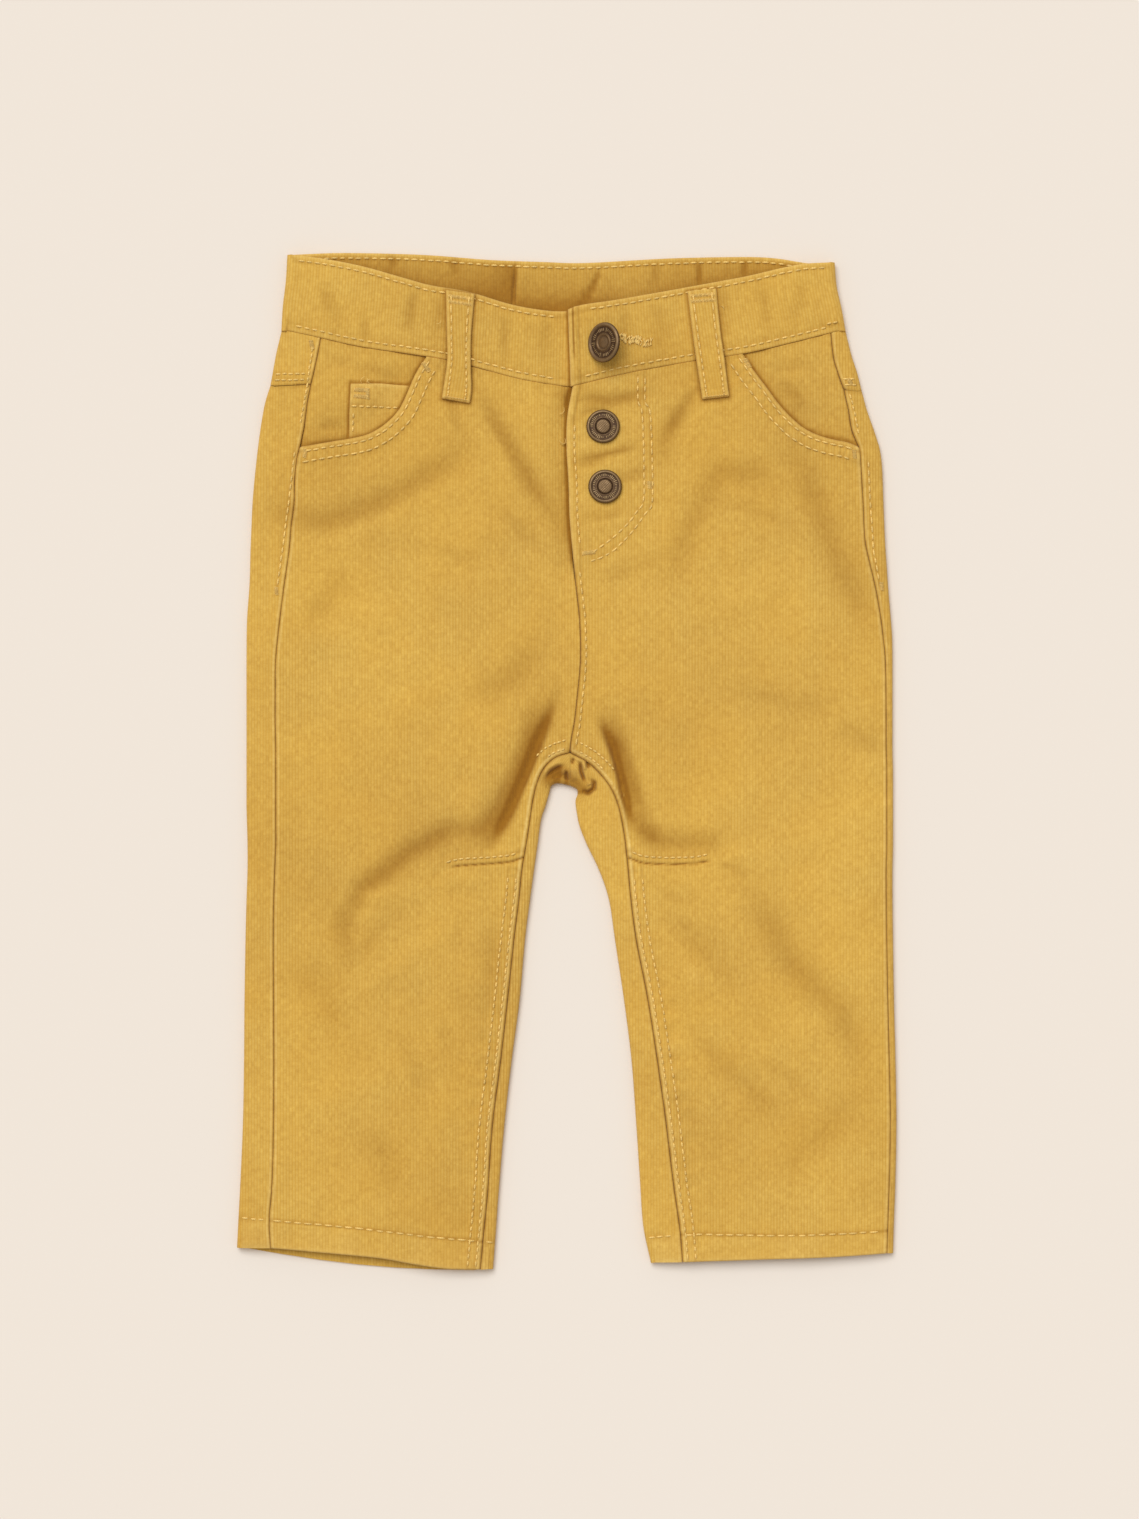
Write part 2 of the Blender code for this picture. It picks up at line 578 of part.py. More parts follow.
def fork_path(centre, edge, normal, seam):
    """Outer and inner points of a back leg from its floor, round the fold by the leg gap, to the inseam."""
    turns = np.radians(np.linspace(-90, 90, ROLL_CELLS + 1))
    shoulder = edge + normal * EDGE_RADIUS
    floor = across(centre, shoulder, FORK_CELLS)[:, 1:-1]
    wrap = across(shoulder, seam, WRAP_CELLS)[:, 1:]
    top = wrap_height(wrap)
    under = top - thickness(wrap_height, wrap, CLOTH)
    outer = [with_height(floor, 0.0), roll(edge, normal, EDGE_RADIUS, EDGE_RADIUS, turns)]
    inner = [with_height(floor, CLOTH), roll(edge, normal, EDGE_RADIUS - CLOTH, EDGE_RADIUS, turns)]
    outer.append(with_height(wrap, top))
    inner.append(with_height(wrap, under))
    return np.concatenate(outer, axis=1), np.concatenate(inner, axis=1)


def build_back(half):
    """A back panel: the leg from side seam to inseam, and above the crotch as far as centre back."""
    legs, body = len(half.legs), half.body + half.upper
    own = CENTRE_BACK_X + half.side * SEAM_GAP / 2
    side = np.array([((row.side_x, row.side_y), (row.edge_x, row.side_y)) for row in half.legs + body])
    forks = np.array([((row.fold_x, row.fold_y), (row.seam_x, row.seam_y)) for row in half.legs])
    backs = np.array([(own, row.back_y) for row in body])
    shared = places_along(front_rows(half), ROW_STEP)
    shared = shared[shared <= legs + len(half.body) - 1]
    places = np.concatenate([shared, legs + len(half.body) + np.arange(len(half.upper))])
    fork_places = places[places <= legs - 1]
    count = len(fork_places)
    seam, edge = np.moveaxis(curve_at(side, places, seam_corners(half)), 1, 0)
    normal = inward(edge, np.zeros(2))
    seam = inset(seam, edge)
    fold, inseam = np.moveaxis(curve_at(forks, fork_places), 1, 0)
    fold_normal = inward(fold, inseam)
    inseam = inset(inseam, fold)
    fold[-1, 0], fold_normal[-1] = own, (0.0, 1.0)
    inseam[-1] = own, CROTCH[1] - SEAM_GAP
    shoulder = edge[:count] + normal[:count] * EDGE_RADIUS
    landing = fold + fold_normal * EDGE_RADIUS
    centre = shoulder + FORK_SHARE * (landing - shoulder)
    centre[-1] = own, fold[-1, 1] + FORK_DEPTH
    rise = curve_at(np.concatenate([centre[-1:], backs]), places[count:] - (legs - 1))
    path = side_path(seam, edge, normal, np.concatenate([centre, rise]))
    fork = fork_path(centre, fold, fold_normal, inseam)
    layers = []
    for main, leg in zip(path, fork):
        spare = np.repeat(leg[-1:], len(places) - count, axis=0)
        layers.append(np.concatenate([main, np.concatenate([leg, spare])], axis=1))
    outer, inner = layers
    floor = outer[0, :, 2] == 0
    floor_share = np.linspace(0, np.pi, floor.sum())
    for layer in layers:
        layer[0, floor, 1] -= BACK_HEM_DROP[half.name] * np.sin(floor_share)
        layer[-1, :, 1] -= SEAM_GAP / 2
    cells = np.ones((outer.shape[0] - 1, outer.shape[1] - 1), bool)
    cells[count - 1 :, path[0].shape[1] - 1 :] = False
    wall(f"back_{half.name}", outer, inner, cells)


def build_yoke(half):
    """A back yoke, from the yoke seam to the waistband, wrapped to the front at the side."""
    side = np.array([((row.side_x, row.side_y), (row.edge_x, row.edge_y)) for row in half.yoke])
    own = CENTRE_BACK_X + half.side * SEAM_GAP / 2
    centre = np.array([(own, row.back_y) for row in half.yoke])
    seam, edge = side[:, 0], side[:, 1]
    normal = inward(edge, np.zeros(2))
    outer, inner = side_path(inset(seam, edge), edge, normal, centre)
    for layer in (outer, inner):
        layer[0, :, 1] += SEAM_GAP / 2
        layer[-1, :, 1] -= SEAM_GAP / 2
    wall(f"yoke_{half.name}", outer, inner)


def mouth_line(half, under):
    """The pocket mouth from the side seam to the waist seam, moved under the front panel."""
    corner = half.body[-1]
    rows = [(corner.side_x, corner.side_y)] + [(row.mouth_x, row.mouth_y) for row in half.mouth]
    inside = np.array([(rise_x(row.rise_y), row.rise_y - MOUTH_INSIDE) for row in (corner, *half.mouth)])
    return inset(np.array(rows), inside, under)


def pocket_plan(side_foot, side_top, top_end, mouth, cells):
    """Plan points of a pocket piece between its side edge, its top edge and the mouth."""
    bend = len(mouth) // 2
    part = np.linspace(0, 1, cells + 1)
    left = side_foot(part)
    top = side_top(part, left[-1], top_end)
    foot = curve_at(np.concatenate([left[:1], mouth[1 : bend + 1]]), part * bend)
    upper = np.concatenate([mouth[bend:-1], [top[-1]]])
    right = curve_at(upper, part * (len(upper) - 1))
    return patch(foot, top, left, right)


def facing_height(plan, half, extra=0.0):
    """The face of a pocket facing: below the front near the mouth, and up to the seams beyond it."""
    away = distance_to(plan, mouth_line(half, 0.0))
    deep = distance_to(plan, mouth_line(half, FACING_UNDER))
    open_side = smooth_step((away - FACING_RISE_START) / FACING_RISE_RUN) * (deep > FACING_UNDER)
    depth = half.facing_depth + (FACING_DEPTH_SEAM - half.facing_depth) * open_side
    return top_height(plan) - depth + extra


def build_facing(half):
    """A hip pocket facing, which fills the pocket mouth and runs on under the front."""
    rows = half.body[-2:] + half.upper
    seam = [(row.side_x, row.side_y) for row in rows]
    seam += [(row.side_x, row.side_y) for row in half.yoke[1:]]
    seam = inset(np.array(seam), np.zeros(2))

    def side_edge(part):
        edge = curve_at(seam, part * (len(seam) - 1))
        edge[-1, 1] = line_y(WAIST_SEAM, edge[-1, 0]) - SEAM_GAP / 2
        return edge

    def top_edge(part, start, end_x):
        x = start[0] + part * (end_x - start[0])
        return np.stack([x, line_y(WAIST_SEAM, x) - SEAM_GAP / 2], axis=1)

    mouth = mouth_line(half, FACING_UNDER)
    top_end = half.mouth[-1].mouth_x - half.side * FACING_UNDER
    plan = pocket_plan(side_edge, top_edge, top_end, mouth, FACING_CELLS)
    laid(f"pocket_facing_{half.name}", plan, lambda at: facing_height(at, half), CLOTH)


def build_coin_pocket():
    """The small pocket on the facing, which runs in under the mouth."""
    mouth = mouth_line(LEFT, COIN_UNDER)
    mouth = mouth[mouth[:, 0] > COIN_FOOT_X - 1.0]
    mouth = mouth[mouth[:, 1] < COIN_TOP_END[1] + 1.0]
    foot = np.array([COIN_FOOT_X, mouth[0, 1] - COIN_FOOT_DROP])

    def side_edge(part):
        return foot + part[:, None] * (np.array(COIN_CORNER) - foot)

    def top_edge(part, start, end):
        return start + part[:, None] * (np.array(end) - start)

    plan = pocket_plan(side_edge, top_edge, COIN_TOP_END, mouth, COIN_CELLS)
    lift = SEAM_GAP + COIN_CLOTH
    laid("coin_pocket", plan, lambda at: facing_height(at, LEFT, lift), COIN_CLOTH)


def build_waistband():
    """The waistband: one strip from the underlap, round the back, to the lapped end."""
    share = np.linspace(0, 1, len(BAND_EDGE_LEFT))[:, None]
    left_edge, right_edge = np.array(BAND_EDGE_LEFT)[:, None], np.array(BAND_EDGE_RIGHT)[:, None]
    lap_end = np.array(BAND_LAP_END)[:, None]
    forward = np.linspace(0, 1, BAND_FRONT_CELLS + 1)[None]
    behind = np.linspace(0, 1, BAND_BACK_CELLS + 1)[None, 1:-1]
    foot_gap = SEAM_GAP / 2

    def strip(x, top, foot):
        low = foot(x) + foot_gap
        return np.stack([x, low + share * (top(x) - low)], axis=-1)

    def front_foot(x):
        tuck = BAND_TUCK * smooth_step((x - BAND_TUCK_X) / BAND_TUCK_RUN)
        return line_y(WAIST_SEAM, x) + tuck

    under_x = BAND_UNDERLAP_X + forward * (left_edge + BAND_RADIUS - BAND_UNDERLAP_X)
    under_plan = strip(under_x, lambda x: line_y(BAND_TOP_UNDERLAP, x), front_foot)
    back_x = left_edge + BAND_RADIUS + behind * (right_edge - left_edge - 2 * BAND_RADIUS)
    back_plan = strip(back_x, lambda x: line_y(BAND_TOP_BACK, x), lambda x: BAND_BACK_FOOT_Y + 0 * x)
    over_x = right_edge - BAND_RADIUS + forward * (lap_end - right_edge + BAND_RADIUS)
    over_plan = strip(over_x, lambda x: line_y(BAND_TOP_LAP, x), lambda x: line_y(WAIST_SEAM, x))

    def side_turn(corner, toward, turns, radius):
        plan = np.repeat(corner[:, None], len(turns), axis=1).copy()
        plan[..., 0] -= toward * radius * np.cos(turns)
        return with_height(plan, BAND_RADIUS + radius * np.sin(turns)[None])

    down = np.radians(np.linspace(90, -90, BAND_TURN_CELLS + 1))[1:]
    layers = []
    for depth in (0.0, BAND_CLOTH):
        radius = BAND_RADIUS - depth
        under = with_height(under_plan, band_height(under_plan, -1) - depth)
        over = with_height(over_plan, band_height(over_plan, 1) - depth)
        back = with_height(back_plan, depth)
        left_turn = side_turn(under_plan[:, -1], 1.0, down, radius)
        right_turn = side_turn(over_plan[:, 0], -1.0, down[::-1], radius)
        layers.append(np.concatenate([under, left_turn, back, right_turn, over], axis=1))
    wall("waistband", layers[0], layers[1])


def loop_foot(plan, side):
    """The underside of a belt loop: over the waistband, then down to the front panel."""
    panel = front_height(plan, side)
    band = band_height(plan, side)
    on_band = smooth_step((plan[..., 1] - line_y(WAIST_SEAM, plan[..., 0])) / LOOP_STEP_RUN + 1.0)
    return panel + np.maximum(band - panel, 0.0) * on_band + SEAM_GAP


def build_loop(name, side):
    """A belt loop, tacked down at both ends and bowed up between them."""
    sections = np.array(LOOPS[name]).reshape(-1, 2, 2)
    rows = curve_at(sections, np.linspace(0, len(sections) - 1, LOOP_ROWS))
    plan = across(rows[:, 0], rows[:, 1], LOOP_CELLS)
    arch = LOOP_ARCH * np.sin(np.linspace(0, np.pi, len(rows)))[:, None]
    low = loop_foot(plan, side).max(axis=1, keepdims=True) + arch
    low = np.broadcast_to(low, plan.shape[:2])
    wall(f"belt_loop_{name}", with_height(plan, low + LOOP_CLOTH), with_height(plan, low))


def turned(name, profile, centre, tilt, steps=26):
    """A round piece turned from (radius, height) pairs, tilted to its left and set in place."""
    built = bmesh.new()
    verts = [built.verts.new((radius * MM, 0.0, height * MM)) for radius, height in profile]
    edges = [built.edges.new(pair) for pair in zip(verts, verts[1:])]
    bmesh.ops.spin(
        built, geom=verts + edges, cent=(0, 0, 0), axis=(0, 0, 1), angle=math.tau, steps=steps
    )
    bmesh.ops.remove_doubles(built, verts=built.verts, dist=0.001 * MM)
    bmesh.ops.recalc_face_normals(built, faces=built.faces)
    made = add_object(name, built, BRASS)
    made.location = [value * MM for value in centre]
    made.rotation_euler = (0.0, -math.radians(tilt), 0.0)
    return made


CAP_RADIUS = 6.7
CAP_PROFILE = (
    (0.0, 0.0), (6.0, 0.0), (CAP_RADIUS, 0.5), (CAP_RADIUS, 1.3), (6.1, 2.0), (5.2, 2.1), (4.8, 1.7),
    (3.3, 1.6), (2.9, 1.9), (2.4, 1.9), (2.2, 1.6), (0.0, 1.7),
)
CAPS = {"snap_cap_upper": (14.6, 133.6), "snap_cap_lower": (15.4, 109.6)}
BUTTON_PLACE = (15.0, 166.4)
BUTTON_TILT = 40.0
BUTTON_RADIUS = 8.0
SHANK_RADIUS = 2.6
SHANK_LENGTH = 4.4
BUTTON_PROFILE = (
    (0.0, -SHANK_LENGTH), (SHANK_RADIUS, -SHANK_LENGTH), (SHANK_RADIUS, -1.2), (7.0, -1.0),
    (7.7, -0.5), (BUTTON_RADIUS, 0.2), (7.6, 0.9),
    (6.6, 1.2), (6.0, 0.8), (3.6, 0.7), (3.2, 1.0), (2.7, 1.0), (2.4, 0.7), (0.0, 0.8),
)


def build_buttons():
    """The snap caps on the fly and the shank button, tipped in its buttonhole."""
    ring = np.linspace(0, math.tau, 25)
    circle = np.stack([np.cos(ring), np.sin(ring)], axis=1)
    for name, place in CAPS.items():
        seat = front_height(np.array(place) + CAP_RADIUS * circle, 1).max() + SEAM_GAP
        turned(name, CAP_PROFILE, (*place, seat), 0.0)
    seat = band_height(np.array(BUTTON_PLACE) + BUTTON_RADIUS * circle, 1).max() + SEAM_GAP
    lean = math.radians(BUTTON_TILT)
    reach = BUTTON_RADIUS * math.sin(lean)
    shank = SHANK_LENGTH * math.cos(lean) + SHANK_RADIUS * math.sin(lean)
    turned("waist_button", BUTTON_PROFILE, (*BUTTON_PLACE, seat + max(reach, shank)), BUTTON_TILT)


def build():
    """Clears the scene and makes every piece."""
    for old in list(bpy.data.objects):
        bpy.data.objects.remove(old)
    for half in (LEFT, RIGHT):
        build_back(half)
        build_yoke(half)
        build_front(half)
        build_facing(half)
    build_coin_pocket()
    build_waistband()
    build_loop("left", -1)
    build_loop("right", 1)
    build_buttons()


build()
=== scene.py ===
"""Baby trousers in mustard needlecord, buttoned and laid flat on their back.

Tables and sizes are in millimetres. x runs from the wearer's right to left, y from the hems to
the waist, and z up from the surface. In the names, left and right are the viewer's.
"""

from collections import namedtuple

import bpy
import numpy as np
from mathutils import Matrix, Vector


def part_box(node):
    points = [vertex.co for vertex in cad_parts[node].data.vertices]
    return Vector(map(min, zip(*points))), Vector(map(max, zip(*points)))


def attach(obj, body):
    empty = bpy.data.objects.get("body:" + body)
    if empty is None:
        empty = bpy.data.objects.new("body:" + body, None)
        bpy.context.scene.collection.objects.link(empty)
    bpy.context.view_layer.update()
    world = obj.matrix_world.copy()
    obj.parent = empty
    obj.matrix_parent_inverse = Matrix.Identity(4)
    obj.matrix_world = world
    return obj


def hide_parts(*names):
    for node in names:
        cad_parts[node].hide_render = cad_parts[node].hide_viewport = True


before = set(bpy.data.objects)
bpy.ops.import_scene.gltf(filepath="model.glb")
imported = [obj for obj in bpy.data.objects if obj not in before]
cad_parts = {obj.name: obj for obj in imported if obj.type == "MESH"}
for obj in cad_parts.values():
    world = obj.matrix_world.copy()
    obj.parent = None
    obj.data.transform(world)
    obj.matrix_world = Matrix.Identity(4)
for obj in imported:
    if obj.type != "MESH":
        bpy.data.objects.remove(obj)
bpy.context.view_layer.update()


# The surface and the light.
# The trousers lie on a plain cream board that isn't part of them, under a wide soft light from
# overhead. The camera looks straight down, as the photograph does.

BOARD_TONE = (0.80, 0.727, 0.648, 1.0)
BOARD_REACH = 12.0
BOARD_DROP = 0.05
SKY_TONE = (1.0, 0.94, 0.86, 1.0)
LAMP_TONE = (0.93, 0.96, 1.0)
SKY_STRENGTH = 0.52
LAMP_FROM = (-0.26, 0.50, 1.0)
LAMP_SPREAD = np.radians(42.0)
LAMP_STRENGTH = 2.24
LENS, SENSOR = 85.0, 36.0
PICTURE_HEIGHT = 607.6
PICTURE_MIDDLE = (1.2, 0.6)
CLOTH_MIDDLE_Z = 4.0


def node(tree, kind, inputs=None, **settings):
    """A shader node with its settings, and with values or links on its inputs."""
    made = tree.nodes.new(kind)
    for name, value in settings.items():
        setattr(made, name, value)
    for name, value in (inputs or {}).items():
        if isinstance(value, bpy.types.NodeSocket):
            tree.links.new(value, made.inputs[name])
        else:
            made.inputs[name].default_value = value
    return made


def material(name):
    """An empty material and its node tree."""
    made = bpy.data.materials.new(name)
    made.use_nodes = True
    made.node_tree.nodes.clear()
    return made, made.node_tree


def surface(tree, inputs):
    """The shader that a material ends in, and its output."""
    shader = node(tree, "ShaderNodeBsdfPrincipled", inputs).outputs[0]
    node(tree, "ShaderNodeOutputMaterial", {"Surface": shader})


def light_scene():
    """The board, the sky, the lamp and the camera."""
    board_paint, tree = material("cream_board")
    surface(tree, {"Base Color": BOARD_TONE, "Roughness": 0.95})
    corners = np.array([(-1, -1), (1, -1), (1, 1), (-1, 1)]) * BOARD_REACH
    mesh = bpy.data.meshes.new("board")
    mesh.from_pydata([(x, y, -BOARD_DROP / 1000) for x, y in corners], [], [(0, 1, 2, 3)])
    mesh.materials.append(board_paint)
    board = bpy.data.objects.new("board", mesh)
    sky = bpy.data.worlds.new("sky")
    sky.use_nodes = True
    sky.node_tree.nodes["Background"].inputs["Color"].default_value = SKY_TONE
    sky.node_tree.nodes["Background"].inputs["Strength"].default_value = SKY_STRENGTH
    lamp_data = bpy.data.lights.new("soft_lamp", "SUN")
    lamp_data.angle = LAMP_SPREAD
    lamp_data.energy, lamp_data.color = LAMP_STRENGTH, LAMP_TONE
    lamp = bpy.data.objects.new("soft_lamp", lamp_data)
    lamp.location = LAMP_FROM
    lamp.rotation_euler = lamp.location.to_track_quat("Z", "Y").to_euler()
    camera_data = bpy.data.cameras.new("camera")
    camera_data.lens, camera_data.sensor_width = LENS, SENSOR
    camera = bpy.data.objects.new("camera", camera_data)
    away = PICTURE_HEIGHT * LENS / SENSOR + CLOTH_MIDDLE_Z
    camera.location = (PICTURE_MIDDLE[0] / 1000, PICTURE_MIDDLE[1] / 1000, away / 1000)
    for made in (board, lamp, camera):
        bpy.context.scene.collection.objects.link(made)
    bpy.context.scene.world = sky
    bpy.context.scene.camera = camera
    bpy.context.scene.view_settings.view_transform = "Standard"


light_scene()


# The front panels.
# Two panels of cotton needlecord, sewn to the backs at the side and inseam and to each other up the
# rise. The hem is turned up, the pocket mouth and fly edge are folded under, and a dart lies by the knee.

RIB_PITCH = 1.21
RIB_HEIGHT = 0.05
CORD_STEP = RIB_PITCH / 4
CLOTH = 1.0
SEAM_GAP = 0.06
EDGE_RADIUS = 1.9
SHARP_ANGLE = np.radians(62.0)
# How high the middle stands above the folded edges, and how far in from them it gets there.
PUFF_HEIGHT = 2.0
PUFF_RUN = 9.0
LEAST_TOP = 2.6
# The fly: how far the left front runs under it and from where, and how both fronts step beside it.
FLY_UNDERLAP = 8.5
FLY_FOOT_Y = 88.0
FLY_DROP = 1.7
FLY_RISE = 0.4
FLY_RUN = 9.0
CROTCH = (1.4, 3.4)
CENTRE_BACK_X = 1.4
# The sign of x on each side.
SIDE = {"left": -1, "right": 1}

# A leg section: the side fold and side seam, the inseam, and the fold that borders the leg gap.
Leg = namedtuple("Leg", "side_y edge_x side_x seam_x seam_y fold_x fold_y")
LEGS = {
    "left": (
        Leg(-194.8, -132, -118.2, -34.4, -203.4, -29.4, -203.4),
        Leg(-182.8, -131.4, -118.8, -33, -188.4, -28.2, -187.6),
        Leg(-167.6, -130.6, -117.6, -31.4, -171.6, -27, -170.8),
        Leg(-143.6, -129.6, -117.1, -29.6, -146, -24.8, -145.2),
        Leg(-119.6, -129.2, -117, -26.4, -120.8, -22, -120.4),
        Leg(-95.6, -129, -117.1, -23.6, -96.4, -18.8, -96),
        Leg(-71.6, -128.6, -117.2, -21, -72, -16.6, -71.6),
        Leg(-55.6, -128.2, -117, -19, -55.6, -14.6, -55.6),
        Leg(-43.6, -127.8, -116.6, -17.8, -43.6, -13, -43.6),
        Leg(-33.6, -127.8, -116.2, -16, -32.8, -11.4, -32.4),
        Leg(-25.6, -128, -116.2, -14.6, -23.6, -10.2, -23.6),
        Leg(-18.8, -128.2, -116.2, -13.4, -15.6, -8.4, -18),
        Leg(-13.6, -128.2, -116.2, -11.6, -8.4, -7, -13.2),
        Leg(-9.6, -128.2, -116.2, -8.8, -2.6, -6, -10),
        Leg(-6.4, -128.2, -116.2, -4.4, 1.4, -3.2, -9),
        Leg(-3.6, -128.2, -116.2, CROTCH[0], CROTCH[1], CENTRE_BACK_X, -9.9),
    ),
    "right": (
        Leg(-197, 130.8, 128.2, 46.5, -200.4, 33.8, -201),
        Leg(-184.4, 131.2, 128.6, 45.2, -186, 30.7, -186),
        Leg(-167.6, 131.8, 129.2, 42.6, -167.6, 29.4, -167.6),
        Leg(-143.6, 132.2, 129.6, 39.7, -143.6, 27.8, -143.6),
        Leg(-119.6, 131.8, 129.2, 36.3, -119.6, 26, -119.6),
        Leg(-95.6, 131.2, 128.6, 32.6, -95.6, 23, -95.6),
        Leg(-71.6, 130.8, 128.2, 27.9, -71.6, 19.4, -71.6),
        Leg(-55.6, 130.6, 128, 25.8, -55.6, 17, -55.6),
        Leg(-43.6, 130.6, 128, 24.7, -43.6, 13, -43.6),
        Leg(-33.6, 130.8, 128.2, 23.6, -32.8, 8.2, -33.6),
        Leg(-25.6, 130.8, 128.2, 22.4, -25.2, 5.2, -26),
        Leg(-18.8, 130.8, 128.2, 20.8, -18, 4, -20),
        Leg(-13.6, 130.8, 128.2, 18.2, -11.6, 3.6, -16),
        Leg(-9.6, 130.8, 128.2, 14.2, -6, 4.4, -13.2),
        Leg(-6.4, 130.8, 128.2, 8.6, -0.6, 4, -11.2),
        Leg(-3.6, 130.8, 128.2, CROTCH[0], CROTCH[1], CENTRE_BACK_X, -9.9),
    ),
}
# A section above the legs: the side fold and side seam, and where the centre back meets it.
Body = namedtuple("Body", "side_y edge_x side_x back_y")
BODIES = {
    "left": (
        Body(4.4, -128.2, -116.2, 6.4), Body(14.4, -128.2, -116.4, 15.6),
        Body(24.4, -128.2, -116.4, 24.8), Body(40.4, -128.2, -116.2, 40.4),
        Body(56.4, -128, -114.6, 55.6), Body(70.4, -127, -112.8, 69.2),
        Body(84.4, -126.6, -110.8, 82), Body(94.4, -126.2, -110, 91.6),
        Body(103.2, -125.8, -108.8, 99.6), Body(112.8, -125, -108.6, 108.4),
        Body(120.4, -124.2, -107.8, 115.6), Body(125.6, -123.6, -106.6, 120.8),
        Body(134.4, -122.4, -104.8, 126.8), Body(143.2, -120.8, -103.6, 131.6),
        Body(150.4, -118.6, -102.2, 135.6),
    ),
    "right": (
        Body(4.4, 130.6, 128, 6.4), Body(14.4, 130.6, 128, 15.6),
        Body(24.4, 130.6, 127.9, 24.8), Body(40.4, 130.6, 127.6, 40.4),
        Body(50.4, 130.4, 126.6, 49.2), Body(59.6, 129.7, 125.4, 58),
        Body(70.4, 128.8, 123.4, 68.4), Body(79.6, 128.2, 121.2, 77.2),
        Body(88.4, 127.6, 119.4, 85.2), Body(103.2, 127, 118.6, 98.8),
        Body(114.4, 126.6, 118, 110), Body(120.4, 126.2, 117.6, 115.6),
        Body(125.6, 125.4, 117, 120.8), Body(132.4, 123.2, 114.2, 125.6),
        Body(140.4, 120.4, 112.8, 130), Body(148.4, 118.2, 111, 134.4),
    ),
}
POCKET_CORNER_Y = 125.6
# A yoke section, from the yoke seam up to the waist seam.
Yoke = namedtuple("Yoke", "side_x side_y edge_x edge_y back_y")
YOKES = {
    "left": (
        Yoke(-102.2, 150.4, -118.6, 150.4, 135.6),
        Yoke(-101, 155.6, -117.6, 156, 145),
        Yoke(-99.6, 162, -116.2, 163.6, 158),
        Yoke(-98.2, 169.2, -114.2, 172, 172),
    ),
    "right": (
        Yoke(111, 148.4, 118.2, 148.4, 134.4),
        Yoke(108.6, 155.2, 116.4, 155.6, 145),
        Yoke(106.8, 161.6, 114.2, 162.4, 158),
        Yoke(105.8, 171.1, 111.8, 172, 172),
    ),
}
# Lines on the front, each from left to right or from below upwards.
RISE = (
    (1.4, 3.4), (1.8, 8.4), (3.2, 16), (4, 23.6), (5, 33), (5.6, 42.4), (5.2, 56.4),
    (3.7, 70.4), (2.4, 83.6), (1.2, 97), (0.8, 110.8), (0, 124), (0.2, 137), (2.4, 149.6),
)
MOUTH = {
    "left": (
        (-106.6, 125.6), (-99.4, 126.8), (-92.2, 128), (-85, 129.2), (-78.6, 131), (-72.2, 135),
        (-67, 140.4), (-63.8, 146.8), (-61.4, 152.6), (-59, 157.2), (-56.2, 161.2),
    ),
    "right": (
        (70.6, 162.4), (75.4, 155.4), (80.4, 148.8), (84.2, 143.6), (88.6, 138.6), (94.2, 133.6),
        (99.4, 130.8), (104.1, 129.2), (108.6, 128.2), (112.6, 127.4), (117, 125.6),
    ),
}
WAIST_SEAM = (
    (-111.4, 172), (-98.6, 169.2), (-82.6, 165.6), (-61, 162.4), (-47.8, 160.2), (-35, 157),
    (-17.4, 152.4), (0, 149.8), (5, 150.4), (23.4, 154.8), (49.4, 159.6), (71, 162.8),
    (88.6, 166.8), (108.8, 172),
)
HEM = {
    "left": ((-118.2, -194.8), (-103.6, -196), (-76, -198.6), (-62, -201), (-48, -203), (-34.4, -203.4)),
    "right": ((46.5, -200.4), (64, -199.8), (82, -199.2), (106, -198.4), (128.2, -197)),
}
HEM_STITCH = {
    "left": ((-131, -182.6), (-90.2, -186), (-56.2, -190), (-28.4, -192.6)),
    "right": ((31.6, -190.8), (52.2, -189.2), (91.8, -189.6), (131.6, -187.8)),
}
DART = {
    "left": ((-47.4, -43), (-43, -41.8), (-31, -41), (-22.6, -40.2), (-17.6, -38.6)),
    "right": ((25, -38.6), (32.2, -40.8), (49.4, -41), (58.8, -39.4)),
}
FLY_STITCH = {
    "outer": (
        (31.4, 153.4), (31.4, 143.6), (33.4, 139), (34.2, 119.8), (34.2, 103.2), (31.4, 98.8),
        (26.2, 91.6), (17.4, 83.2), (7, 78.8),
    ),
    "inner": (
        (28.6, 153.8), (28.6, 143.6), (30.2, 139), (30.9, 119.8), (30.8, 104.2), (28.2, 99.8),
        (23.6, 94), (17, 88), (10.2, 83.2),
    ),
}

